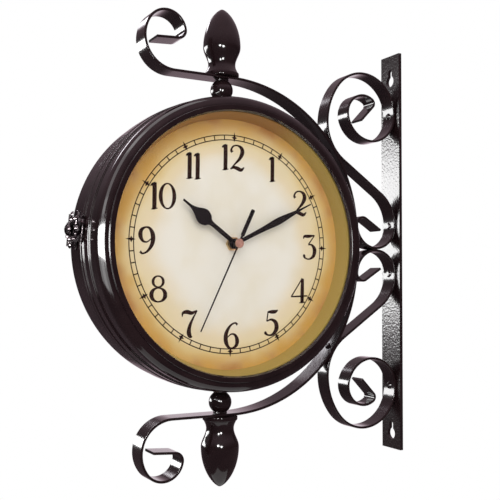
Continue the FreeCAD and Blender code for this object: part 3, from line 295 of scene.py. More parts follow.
@dataclass
class Trail:
    """A line of straight runs and arcs in the bracket's plane, with its heading at each point."""

    here: Array
    heading: float
    points: list[Array] = field(default_factory=list)
    headings: list[Array] = field(default_factory=list)

    def note(self, points: Array, headings: Array) -> None:
        """Keep a stretch.

        Args:
            points: Its points.
            headings: The heading at each of them.
        """
        self.points.append(points)
        self.headings.append(headings)
        self.here, self.heading = points[-1], float(headings[-1])

    def run(self, length: float, steps: int = 6) -> None:
        """Go straight on.

        Args:
            length: How far.
            steps: Points of the stretch.
        """
        share = np.linspace(0, length, steps)[1:, None]
        ahead = np.array([math.cos(self.heading), math.sin(self.heading)])
        self.note(self.here + share * ahead, np.full(steps - 1, self.heading))

    def bend(self, radius: float, turn: float, step: float = 3.0) -> None:
        """Go round an arc: p(h) = c - s r n(h), with n the left normal at heading h and s the way it turns.

        Args:
            radius: The arc's radius.
            turn: Angle in degrees, above zero to the left.
            step: Largest angle between two points, in degrees.
        """
        reach = math.copysign(radius, turn)
        count = max(2, math.ceil(abs(turn) / step))
        headings = self.heading + np.radians(np.linspace(0, turn, count + 1)[1:])
        centre = self.here + reach * left_at(self.heading)
        self.note(centre - reach * left_at(headings), headings)

    def curl(self, arcs: tuple[Span, ...], tail: float) -> None:
        """Go round some arcs, each with its radius and turn, and end in a straight tail.

        Args:
            arcs: The arcs.
            tail: Length of the tail.
        """
        for radius, turn in arcs:
            self.bend(radius, turn)
        self.run(tail)

    def line(self) -> tuple[Array, Array]:
        """Points of the whole line and their normals to the left."""
        return np.concatenate(self.points), left_at(np.concatenate(self.headings))


def swept(points: Array, normals: Array, section: Array) -> Array:
    """A section carried along a line, p(i, j) = q_i + a_j n_i, at depth b_j.

    Args:
        points: The line q.
        normals: Its normals n.
        section: Offsets a along the normal and b along the drum's axis.

    Returns:
        Points by section by three.
    """
    flat = points[:, None] + normals[:, None] * section[None, :, :1]
    depth = np.broadcast_to(section[:, 1:], (len(points), len(section), 1))
    return np.concatenate([flat, depth], axis=-1)


def plate(surface: Surface, outline: Array, low: float, high: float, bevel: float) -> None:
    """Add a flat plate with a bevelled front edge.

    Args:
        surface: Where it goes.
        outline: Its outline, anticlockwise.
        low: Level of its back.
        high: Level of its front.
        bevel: Width and depth of the bevel.
    """
    inward = left_of(np.roll(outline, -1, axis=0) - np.roll(outline, 1, axis=0))
    rings = [(outline, low), (outline, high - bevel), (outline + inward * bevel, high)]
    points = np.stack([np.column_stack([ring, np.full(len(ring), level)]) for ring, level in rings])
    surface.sheet(points, capped=True)


@dataclass
class Recipe:
    """A node tree under construction."""

    tree: bpy.types.NodeTree

    def put(self, kind: str, inputs: Inputs | None = None, **settings: object) -> bpy.types.Node:
        """Add a node.

        Args:
            kind: The node's type.
            inputs: Values for its inputs, colours without opacity, or outputs of other nodes to join to them.
            **settings: Properties of the node.

        Returns:
            The node.
        """
        node = self.tree.nodes.new(kind)
        for name, value in settings.items():
            setattr(node, name, value)
        for name, value in (inputs or {}).items():
            socket = node.inputs[name]
            if isinstance(value, Socket):
                self.tree.links.new(value, socket)
            else:
                socket.default_value = (*value, 1.0) if socket.type == "RGBA" else value
        return node

    def group(self, tree: bpy.types.NodeTree, inputs: Inputs) -> dict[str, Socket]:
        """Outputs of a node group that is placed with these inputs."""
        return dict(self.put("ShaderNodeGroup", inputs, node_tree=tree).outputs.items())

    def math(self, operation: str, *values: object) -> Socket:
        """Result of a math node on numbers or sockets."""
        return self.put("ShaderNodeMath", dict(enumerate(values)), operation=operation).outputs[0]

    def vector(self, operation: str, *values: object) -> bpy.types.Node:
        """A vector math node on vectors or sockets."""
        return self.put("ShaderNodeVectorMath", dict(enumerate(values)), operation=operation)

    def stretch(self, value: Socket, source: Span, target: Span = UNIT) -> Socket:
        """A value carried smoothly from one span to another.

        Args:
            value: The value.
            source: The span it comes from.
            target: The span it goes to.

        Returns:
            The carried value.
        """
        spans = {"Value": value, "From Min": source[0], "From Max": source[1], "To Min": target[0],
                 "To Max": target[1]}
        return self.put("ShaderNodeMapRange", spans, interpolation_type="SMOOTHSTEP").outputs[0]

    def between(self, share: Socket, first: object, second: object) -> Socket:
        """Two numbers mixed by the share of the second; a mix node keeps its numbers in inputs 2 and 3."""
        return self.put("ShaderNodeMix", {0: share, 2: first, 3: second}).outputs[0]

    def blend(self, share: Socket, first: object, second: object) -> Socket:
        """Two colours mixed by the share of the second; a mix node keeps its colours in inputs 6 and 7."""
        return self.put("ShaderNodeMix", {0: share, 6: first, 7: second}, data_type="RGBA").outputs[2]

    def noise(self, vector: Socket, scale: object, detail: float = 3.0) -> Socket:
        """Value of a noise texture, with so many finer layers."""
        return self.put("ShaderNodeTexNoise", {"Vector": vector, "Scale": scale, "Detail": detail}).outputs[0]


def start_group(name: str, inputs: dict[str, str],
                outputs: dict[str, str]) -> tuple[Recipe, dict[str, Socket]]:
    """Start a node group.

    Args:
        name: The group's name.
        inputs: Kind of each input.
        outputs: Kind of each output.

    Returns:
        The recipe to fill and the sockets of its inputs.
    """
    tree = bpy.data.node_groups.new(name, "ShaderNodeTree")
    for way, sockets in (("INPUT", inputs), ("OUTPUT", outputs)):
        for label, kind in sockets.items():
            tree.interface.new_socket(label, in_out=way, socket_type=f"NodeSocket{kind}")
    recipe = Recipe(tree)
    return recipe, dict(recipe.put("NodeGroupInput").outputs.items())


@cache
def orange_peel() -> bpy.types.NodeTree:
    """The slight dimpled texture of baked enamel, as a normal.

    Returns:
        The node group.
    """
    recipe, given = start_group("Orange peel", {"Vector": "Vector", "Scale": "Float", "Depth": "Float"},
                                {"Normal": "Vector"})
    fine = recipe.noise(given["Vector"], given["Scale"], detail=1.0)
    bump = recipe.put("ShaderNodeBump", {"Height": fine, "Distance": given["Depth"], "Strength": 1.0})
    recipe.put("NodeGroupOutput", {"Normal": bump.outputs[0]})
    return recipe.tree


@cache
def mottle() -> bpy.types.NodeTree:
    """Uneven colour: two colours mixed by a cloudy noise, which is also put out as a mask.

    Returns:
        The node group.
    """
    recipe, given = start_group("Mottle", {"Vector": "Vector", "Scale": "Float", "First": "Color",
                                           "Second": "Color"}, {"Color": "Color", "Mask": "Float"})
    cloud_span = (0.32, 0.68)
    mask = recipe.stretch(recipe.noise(given["Vector"], given["Scale"], detail=4.0), cloud_span)
    colour = recipe.blend(mask, given["First"], given["Second"])
    recipe.put("NodeGroupOutput", {"Color": colour, "Mask": mask})
    return recipe.tree


@dataclass(frozen=True)
class Finish:
    """What a piece is made of; each finish fills one Principled shader."""

    name: str

    def material(self) -> bpy.types.Material:
        """The finish's material, made once.

        Returns:
            The material.
        """
        existing = bpy.data.materials.get(self.name)
        if existing:
            return existing
        material = bpy.data.materials.new(self.name)
        material.use_nodes = True
        material.node_tree.nodes.clear()
        recipe = Recipe(material.node_tree)
        where = recipe.put("ShaderNodeTexCoord").outputs["Object"]
        shader = recipe.put("ShaderNodeBsdfPrincipled", self.inputs(recipe, where)).outputs[0]
        recipe.put("ShaderNodeOutputMaterial", {"Surface": self.shown(recipe, shader)})
        return material

    def inputs(self, recipe: Recipe, where: Socket) -> Inputs:
        """Inputs of the shader, none in a bare finish."""
        return {}

    def shown(self, recipe: Recipe, shader: Socket) -> Socket:
        """The shader to show, which is the Principled one alone."""
        return shader


@dataclass(frozen=True)
class Enamel(Finish):
    """Glossy baked enamel with a little orange peel."""

    dark: Colour = (0.0130, 0.0060, 0.0070)
    light: Colour = (0.0190, 0.0095, 0.0105)
    scale: float = 60.0
    roughness: float = 0.13
    peel_scale: float = 700.0
    peel_depth: float = 0.00003
    coat: float = 0.5
    coat_roughness: float = 0.06

    def inputs(self, recipe: Recipe, where: Socket) -> Inputs:
        """Uneven dark colour under a dimpled coat.

        Args:
            recipe: The material's tree.
            where: Object coordinates.

        Returns:
            Inputs of the shader.
        """
        uneven = recipe.group(mottle(), {"Vector": where, "Scale": self.scale, "First": self.dark,
                                         "Second": self.light})
        peel = recipe.group(orange_peel(), {"Vector": where, "Scale": self.peel_scale,
                                            "Depth": self.peel_depth})
        return {"Base Color": uneven["Color"], "Normal": peel["Normal"], "Coat Normal": peel["Normal"],
                "Roughness": self.roughness, "Coat Weight": self.coat, "Coat Roughness": self.coat_roughness}


@dataclass(frozen=True)
class Plain(Finish):
    """Metal, plastic, ink or jacket of one uneven colour."""

    first: Colour
    second: Colour
    scale: float
    roughness: float
    metallic: float = 0.0
    gloss: float = 0.5
    spread: float = 0.15

    def inputs(self, recipe: Recipe, where: Socket) -> Inputs:
        """Uneven colour and roughness.

        Args:
            recipe: The material's tree.
            where: Object coordinates.

        Returns:
            Inputs of the shader.
        """
        uneven = recipe.group(mottle(), {"Vector": where, "Scale": self.scale, "First": self.first,
                                         "Second": self.second})
        reach = (self.roughness * (1 - self.spread), self.roughness * (1 + self.spread))
        return {"Base Color": uneven["Color"], "Roughness": recipe.stretch(uneven["Mask"], UNIT, reach),
                "Metallic": self.metallic, "Specular IOR Level": self.gloss}


@dataclass(frozen=True)
class Glass(Finish):
    """Clear flat glass that lets light through to the dial."""

    index: float = 1.2

    def inputs(self, recipe: Recipe, where: Socket) -> Inputs:
        """Clear and smooth all over."""
        return {"Base Color": WHITE, "Roughness": 0.0, "IOR": self.index, "Transmission Weight": 1.0}

    def shown(self, recipe: Recipe, shader: Socket) -> Socket:
        """The glass to look at, and nothing at all for light on its way to the dial.

        Args:
            recipe: The material's tree.
            shader: Its Principled shader.

        Returns:
            The shader to show.
        """
        path = recipe.put("ShaderNodeLightPath").outputs
        light = recipe.math("MAXIMUM", path["Is Shadow Ray"], path["Is Diffuse Ray"])
        clear = recipe.put("ShaderNodeBsdfTransparent").outputs[0]
        return recipe.put("ShaderNodeMixShader", {0: light, 1: shader, 2: clear}).outputs[0]


@dataclass(frozen=True)
class Paper(Finish):
    """Aged dial: cream in the middle, amber towards the edge with brown stains, darkest at the rim where they are
    partly painted shade, and a bare card back.
    """

    # Tones out from the middle; the last, darkest one at the very edge is partly aged paper and partly painted
    # shade
    tones: tuple[tuple[float, Colour], ...] = (
        (0.0, (0.90, 0.85, 0.74)), (0.36, (0.86, 0.72, 0.48)), (0.62, (0.85, 0.70, 0.42)),
        (0.84, (0.77, 0.57, 0.24)), (1.0, (0.66, 0.37, 0.075)))
    stain: Colour = (0.50, 0.23, 0.055)
    tea: Colour = (0.76, 0.66, 0.43)
    card: Colour = (0.50, 0.46, 0.39)
    card_shade: Colour = (0.42, 0.38, 0.31)
    reach: Span = (0.050, 0.0965)
    cloud_reach: float = 0.028
    cloud_scale: float = 22.0
    blot_scale: float = 34.0
    blot_detail: float = 5.0
    stain_span: Span = (0.42, 0.66)
    stain_reach: Span = (0.087, 0.0962)
    tea_span: Span = (0.38, 0.72)
    tea_share: float = 0.34
    roughness: float = 0.6

    def inputs(self, recipe: Recipe, where: Socket) -> Inputs:
        """Colour by the distance from the drum's axis, stained by two noises, on the printed side only; the
        darkest tone and the brown patches at the rim are partly aging and partly painted shade under the recess
        wall.

        Args:
            recipe: The material's tree.
            where: Object coordinates.

        Returns:
            Inputs of the shader.
        """
        moved = recipe.vector("SUBTRACT", where, Vector(CENTRE)).outputs[0]
        across = recipe.vector("MULTIPLY", moved, (1.0, 0.0, 1.0)).outputs[0]
        distance = recipe.vector("LENGTH", across).outputs["Value"]
        cloud = recipe.noise(where, self.cloud_scale)
        shifted = recipe.math("MULTIPLY_ADD", cloud, self.cloud_reach, distance)
        inner, outer = (radius + self.cloud_reach / 2 for radius in self.reach)
        ramp = recipe.put("ShaderNodeValToRGB", {0: recipe.stretch(shifted, (inner, outer))})
        stops = ramp.color_ramp.elements
        stops.remove(stops[1])
        for start, tone in self.tones:
            stop = stops.new(start) if start else stops[0]
            stop.color = (*tone, 1.0)
        blot = recipe.noise(where, self.blot_scale, self.blot_detail)
        brewed = recipe.stretch(blot, self.tea_span, (0.0, self.tea_share))
        aged = recipe.blend(brewed, ramp.outputs[0], self.tea)
        # Real staining mixed with painted shade: brown patches only at the outer rim, where the recess wall shades
        # the dial
        rim = recipe.stretch(distance, self.stain_reach)
        stain_and_shade_patch = recipe.math("MULTIPLY", recipe.stretch(blot, self.stain_span), rim)
        stained = recipe.blend(stain_and_shade_patch, aged, self.stain)
        low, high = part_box("front_dial")
        middle = abs(low[1] + high[1]) / 2
        level = recipe.math("ABSOLUTE", recipe.put("ShaderNodeSeparateXYZ", {0: where}).outputs[1])
        printed = recipe.stretch(level, (middle - MM / 10, middle + MM / 10))
        fibre = recipe.blend(blot, self.card, self.card_shade)
        return {"Base Color": recipe.blend(printed, fibre, stained), "Roughness": self.roughness}


@dataclass(frozen=True)
class Recess(Finish):
    """Gold lacquer of the wall round the dial, with painted shade: a darker brown above and away from the wall."""

    gold: Colour = (0.42, 0.300, 0.075)
    # brown is painted shade, a shaded copy of the gold laid above and away from the wall
    brown: Colour = (0.34, 0.165, 0.042)
    lean: float = -1.2
    span: Span = (-0.07, 0.0)
    cloud_scale: float = 30.0
    cloud_reach: float = 0.04
    roughness: float = 0.5

    def inputs(self, recipe: Recipe, where: Socket) -> Inputs:
        """The gold and its painted shade, a darker brown, meeting along a slanted, cloudy line.

        Args:
            recipe: The material's tree.
            where: Object coordinates.

        Returns:
            Inputs of the shader.
        """
        place = recipe.put("ShaderNodeSeparateXYZ", {0: where}).outputs
        # Painted shade: the higher and the further from the wall, the more of the brown
        slant = recipe.math("MULTIPLY_ADD", place[2], self.lean, place[0])
        cloud = recipe.math("MULTIPLY_ADD", recipe.noise(where, self.cloud_scale), self.cloud_reach, slant)
        share = recipe.stretch(cloud, (float(CENTRE[0]) + self.span[0], float(CENTRE[0]) + self.span[1]))
        return {"Base Color": recipe.blend(share, self.brown, self.gold), "Roughness": self.roughness}


ENAMEL = Enamel("Bracket enamel")
CASE_ENAMEL = Enamel("Drum enamel", roughness=0.12, peel_depth=0.000003, peel_scale=420.0)
STRAP_ENAMEL = Enamel("Strap enamel", roughness=0.17, peel_scale=560.0, peel_depth=0.000125)
HAND_ENAMEL = Plain("Hand enamel", (0.006, 0.005, 0.005), (0.010, 0.008, 0.008), 300.0, 0.45, gloss=0.08)
INK = Plain("Dial ink", (0.017, 0.006, 0.004), (0.026, 0.010, 0.006), 500.0, 0.7, gloss=0.1)
COPPER = Plain("Copper", (0.50, 0.33, 0.24), (0.36, 0.23, 0.16), 400.0, 0.35, metallic=1.0)
ANTIQUE = Plain("Antique metal", (0.014, 0.011, 0.012), (0.24, 0.21, 0.22), 420.0, 0.17, metallic=1.0)
FLOOR = Plain("Floor", (0.86, 0.86, 0.86), (0.84, 0.84, 0.84), 4.0, 0.7)

SLOT_FINISH: dict[str, Finish] = {
    "bracket_enamel": ENAMEL,
    "case_enamel": CASE_ENAMEL,
    "glass": Glass("Clear glass"),
    "recess_gold": Recess("Recess gold"),
    "dial_print": Paper("Aged dial"),
    "hand_enamel": HAND_ENAMEL,
    "brass": Plain("Brass", (0.66, 0.51, 0.26), (0.54, 0.39, 0.18), 400.0, 0.3, metallic=1.0),
    "antique_brass": ANTIQUE,
    "steel": Plain("Steel", (0.5, 0.49, 0.48), (0.4, 0.39, 0.38), 300.0, 0.3, metallic=1.0),
    "movement_plastic": Plain("Movement plastic", (0.02, 0.02, 0.021), (0.028, 0.028, 0.03), 200.0, 0.5),
    "wheel_plastic": Plain("Wheel plastic", (0.78, 0.77, 0.72), (0.70, 0.69, 0.64), 300.0, 0.4),
    "battery_jacket": Plain("Battery jacket", (0.06, 0.09, 0.11), (0.10, 0.13, 0.15), 150.0, 0.35),
    "board_plastic": Plain("Circuit board", (0.02, 0.10, 0.045), (0.03, 0.13, 0.06), 250.0, 0.4),
}


@dataclass
class Bracket:
    """Flat-bar arm and scrolls, finials and balls, in millimetres from the drum's centre.

    A curve is a row of arcs, each with its radius and its turn in degrees.
    """

    bar_width: float = 18.0
    scroll_width: float = 15.0
    bar_thick: float = 2.0
    bar_edge: float = 0.5
    arm_side: float = 125.8
    arm_rise: float = 12.7
    arm_corner: float = 120.0
    arm_step: float = 1.5
    arm_top_run: float = 49.8
    curl: tuple[Span, ...] = ((24.7, -128.0), (15.7, -134.0), (6.1, -94.0))
    curl_tail: float = 17.9
    strap_touch: float = 168.0
    foot_height: float = 21.228
    foot: tuple[Span, ...] = ((20.228, -180.0), (6.156, -122.0))
    foot_tail: float = 18.256
    hip: Span = (33.37, 56.0)
    shank: float = 47.661
    crown: tuple[Span, ...] = (
        (38.062, -56.0), (53.25, -38.6), (33.322, -141.4), (25.17, -162.0), (16.827, -141.0), (4.118, -101.0))
    crown_tail: float = 17.892
    finial_base: float = 133.7
    finial_height: float = 55.5
    finial_sides: int = 96
    base_radius: float = 13.8
    base_edges: tuple[float, ...] = (0, 1.0, 1.4, 0)
    plinth: float = 3.5
    lip: Span = (0.9, 0.4)
    neck: Span = (10.9, 10.0)
    bulb: Span = (15.0, 24.5)
    cove_steps: int = 24
    dome_steps: int = 40
    tip_power: float = 0.68
    ball_radius: float = 9.0
    ball_centre: float = 123.45
    ball_low: float = 115.2
    ball_high: float = 131.7
    ball_sides: int = 64
    collar_radius: float = 5.6
    collar_rise: float = 0.9

    def section(self, width: float) -> Array:
        """A bar's section with rounded edges.

        Args:
            width: The bar's width.

        Returns:
            Offsets along the normal and along the drum's axis.
        """
        thick, wide = self.bar_thick / 2, width / 2
        corners = np.array([(-thick, -wide), (thick, -wide), (thick, wide), (-thick, wide)])
        return rounded(corners, np.full(4, self.bar_edge), closed=True)

    def arm(self) -> tuple[Array, Array]:
        """Line of the arm from its lower curl to its upper one.

        Returns:
            Points and normals.
        """
        trail = Trail(np.array([self.arm_side, 0.0]), math.pi / 2)
        trail.note(trail.here[None], np.array([trail.heading]))
        trail.run(self.arm_rise)
        trail.bend(self.arm_corner, 90.0, self.arm_step)
        trail.run(self.arm_top_run)
        trail.curl(self.curl, self.curl_tail)
        points, normals = trail.line()
        down = np.array([1.0, -1.0])
        whole = [np.concatenate([half[:0:-1] * down, half]) for half in (points, normals)]
        return whole[0], whole[1]

    def scroll(self) -> tuple[Array, Array]:
        """Line of the upper scroll from the small loop's tail to the spiral's tail.

        Returns:
            Points and normals.
        """
        start = np.array([self.strap_touch, self.foot_height])
        lower = Trail(start, -math.pi / 2)
        lower.curl(self.foot, self.foot_tail)
        upper = Trail(start, math.pi / 2)
        upper.note(start[None], np.array([upper.heading]))
        upper.bend(*self.hip)
        upper.run(self.shank)
        upper.curl(self.crown, self.crown_tail)
        points, normals = lower.line()
        ahead, sides = upper.line()
        return np.concatenate([points[::-1], ahead]), np.concatenate([-normals[::-1], sides])

    def finial_profile(self) -> Array:
        """Radius and height of a finial: a cove up to the neck, a cosine swell to the bulb and a round top.

        The top follows r = R (1 - s^2)^q, and a power q below one makes its tip round.

        Returns:
            Rows from the base up.
        """
        share = np.linspace(0, 1, self.cove_steps)
        neck, neck_at = self.neck
        bulb, bulb_at = self.bulb
        lip, lip_at = self.base_radius - self.lip[0], self.plinth + self.lip[1]
        wide = self.base_radius
        corners = np.array([(0.0, 0.0), (wide, 0.0), (wide, self.plinth), (lip, lip_at)])
        cove = np.column_stack([neck + (lip - neck) * (1 - np.sin(share * math.pi / 2)),
                                lip_at + (neck_at - lip_at) * share])
        swell = np.column_stack([(neck + bulb) / 2 - (bulb - neck) / 2 * np.cos(math.pi * share),
                                 neck_at + (bulb_at - neck_at) * share])
        height = np.sin(np.linspace(0, math.pi / 2, self.dome_steps))
        top = np.column_stack([bulb * (1 - height**2)**self.tip_power,
                               bulb_at + (self.finial_height - bulb_at) * height])
        return np.concatenate([rounded(corners, np.array(self.base_edges)), cove[1:], swell[1:], top[1:]])

    def ball_profile(self) -> Array:
        """Radius and height of a ball between its collars.

        Returns:
            Rows from below up.
        """
        reach = math.asin((self.ball_high - self.ball_centre - self.collar_rise) / self.ball_radius)
        tilt = np.linspace(-reach, reach, self.dome_steps)
        height = self.ball_centre + self.ball_radius * np.sin(tilt)
        ball = np.column_stack([self.ball_radius * np.cos(tilt), height])
        low = [(0.0, self.ball_low), (self.collar_radius, self.ball_low)]
        high = [(self.collar_radius, self.ball_high), (0.0, self.ball_high)]
        return np.concatenate([low, ball, high])

    def build(self) -> list[Piece]:
        """Make the bracket's pieces.

        Returns:
            The pieces.
        """
        arm = Surface("arm_bar", Turn.FRONT)
        arm.sheet(swept(*self.arm(), self.section(self.bar_width)), capped=True)
        made = [(arm, "c_arm")]
        points, normals = self.scroll()
        section = self.section(self.scroll_width)
        for word, flip in (("upper", 1.0), ("lower", -1.0)):
            scroll, down = Surface(f"{word}_scroll_bar", Turn.FRONT), np.array([1.0, flip])
            scroll.sheet(swept(points * down, normals * down, section), capped=True)
            made.append((scroll, f"{word}_scroll"))
        balls = Surface("balls", Turn.ABOVE)
        for word, turn, sign in (("top", Turn.ABOVE, 1), ("bottom", Turn.BELOW, -1)):
            finial = Surface(f"{word}_finial_turning", turn)
            profile = self.finial_profile() + np.array([0.0, self.finial_base])
            finial.sheet(lathe(profile, self.finial_sides))
            made.append((finial, f"{word}_finial"))
            ball = lathe(self.ball_profile() * np.array([1.0, sign]), self.ball_sides)
            balls.sheet(ball[::sign])
        made.append((balls, "pivot_balls"))
        return [surface.piece(ENAMEL, "bracket", "bracket_enamel", (node,)) for surface, node in made]


@dataclass
class Case:
    """One half of the drum's case, turned from a profile of bead, band, shoulder and rim, in millimetres."""

    side: Side
    seam: float = 0.35
    bead: float = 114.25
    band: float = 113.75
    groove: float = 112.7
    rim: float = 104.8
    opening: float = 100.0
    bore: float = 110.6
    bead_edge: float = 4.6
    bead_dip: float = 0.35
    band_start: float = 2.2
    band_edge: float = 15.4
    fall: float = 0.3
    shoulder_start: float = 28.0
    shoulder: float = 8.0
    rim_top: float = 37.2
    rim_slope: float = 1.0
    bezel: float = 34.8
    bezel_thick: float = 0.5
    throat: float = 3.0
    edges: tuple[float, ...] = (0, 0.3, 0.45, 0.3, 0.45, 0.5, 0.3, 7.9, 0.35, 0.3, 0.35, 0.3, 0.1, 0, 0)
    edge_steps: int = 9
    edge_support: float = 0.15
    sides: int = 240

    def profile(self) -> Array:
        """Outline of the case half, from the seam over the outside to the opening and back inside.

        Returns:
            Radius and depth of each row.
        """
        top, inside = self.shoulder_start + self.shoulder, self.bezel - self.bezel_thick
        corners = np.array([
            (self.bore, self.seam), (self.bead, self.seam), (self.bead, self.bead_edge),
            (self.band - self.bead_dip, self.bead_edge + self.fall),
            (self.band, self.bead_edge + self.band_start), (self.band, self.band_edge),
            (self.groove, self.band_edge + self.fall), (self.groove, top),
            (self.rim, top), (self.rim, self.rim_top), (self.opening + self.rim_slope, self.rim_top),
            (self.opening, self.bezel), (self.opening, inside), (self.bore - self.throat, inside),
            (self.bore, self.shoulder_start)])
        return rounded(corners, np.array(self.edges), steps=self.edge_steps, support=self.edge_support)

    def build(self) -> Piece:
        """Make the case half.

        Returns:
            The piece.
        """
        surface = Surface(f"{self.side.prefix}_case", self.side.turn)
        surface.sheet(lathe(self.profile(), self.sides), closed_rows=True)
        return surface.piece(CASE_ENAMEL, self.side.body, "case_enamel", (f"{self.side.prefix}_shell",))


# Strokes of the digits: knots across, up and wide, as shares of a digit's height
STROKE_SHARES: dict[str, tuple[tuple[tuple[float, float, float], ...], ...]] = {
    "1": (((0.16, 0.97, 0.15), (0.16, 0.5, 0.155), (0.155, 0.02, 0.15)),
          ((0.0, 0.85, 0.03), (0.08, 0.90, 0.09), (0.20, 0.97, 0.06)),
          ((0.03, -0.01, 0.02), (0.15, 0.02, 0.07), (0.29, 0.04, 0.02))),
    "2": (((0.12, 0.70, 0.11), (0.07, 0.78, 0.08), (0.16, 0.93, 0.06), (0.34, 0.97, 0.06), (0.51, 0.88, 0.13),
           (0.55, 0.70, 0.16), (0.43, 0.46, 0.11), (0.22, 0.24, 0.06), (0.05, 0.05, 0.04)),
          ((0.04, 0.05, 0.05), (0.18, 0.12, 0.10), (0.34, 0.09, 0.14), (0.50, 0.04, 0.12),
           (0.64, 0.15, 0.03))),
    "3": (((0.04, 0.82, 0.03), (0.08, 0.92, 0.09), (0.28, 0.93, 0.12), (0.56, 0.97, 0.04)),
          ((0.56, 0.97, 0.04), (0.42, 0.79, 0.045), (0.27, 0.60, 0.05)),
          ((0.26, 0.59, 0.04), (0.43, 0.58, 0.08), (0.56, 0.40, 0.16), (0.51, 0.15, 0.13), (0.32, 0.02, 0.06),
           (0.13, 0.05, 0.06), (0.07, 0.14, 0.11), (0.10, 0.19, 0.06))),
    "4": (((0.54, 0.98, 0.05), (0.30, 0.63, 0.045), (0.03, 0.25, 0.05)),
          ((0.02, 0.25, 0.05), (0.38, 0.26, 0.06), (0.78, 0.28, 0.05)),
          ((0.55, 0.96, 0.12), (0.54, 0.5, 0.15), (0.53, 0.02, 0.14)),
          ((0.39, 0.0, 0.02), (0.53, 0.02, 0.06), (0.69, 0.03, 0.02))),
    "5": (((0.19, 0.92, 0.06), (0.36, 0.92, 0.13), (0.52, 0.93, 0.12), (0.64, 0.99, 0.03)),
          ((0.20, 0.94, 0.05), (0.17, 0.76, 0.05), (0.14, 0.56, 0.05)),
          ((0.13, 0.56, 0.04), (0.34, 0.62, 0.08), (0.54, 0.50, 0.15), (0.57, 0.26, 0.17), (0.42, 0.06, 0.10),
           (0.22, 0.02, 0.06), (0.08, 0.10, 0.10), (0.11, 0.16, 0.06))),
    "6": (((0.60, 0.90, 0.09), (0.50, 0.97, 0.06), (0.30, 0.87, 0.08), (0.13, 0.60, 0.14), (0.11, 0.30, 0.16),
           (0.22, 0.07, 0.10), (0.38, 0.02, 0.06), (0.55, 0.12, 0.12), (0.59, 0.32, 0.15), (0.50, 0.51, 0.09),
           (0.34, 0.55, 0.05), (0.17, 0.43, 0.04)),),
    "7": (((0.03, 0.75, 0.03), (0.06, 0.89, 0.09), (0.22, 0.93, 0.14), (0.42, 0.89, 0.12),
           (0.63, 0.98, 0.04)),
          ((0.63, 0.97, 0.04), (0.47, 0.70, 0.07), (0.34, 0.42, 0.12), (0.30, 0.18, 0.16), (0.35, 0.04, 0.14),
           (0.43, 0.0, 0.05))),
}
# Ovals of the round digits: middle across and up, half width, half height, thin and thick line, as shares
OVAL_SHARES: dict[str, tuple[tuple[float, ...], ...]] = {
    "0": ((0.34, 0.5, 0.27, 0.46, 0.05, 0.14),),
    "8": ((0.33, 0.76, 0.20, 0.20, 0.05, 0.10), (0.34, 0.28, 0.27, 0.25, 0.05, 0.15)),
}
HOUR_DEGREES = 30
MINUTE_DEGREES = 6
HOUR_MINUTES = 5
HAND_STEPS = 8
WIDTH_SHARES = {"0": 0.66, "1": 0.33, "2": 0.66, "3": 0.62, "4": 0.78, "5": 0.66, "6": 0.68, "7": 0.66,
                "8": 0.66, "9": 0.68}


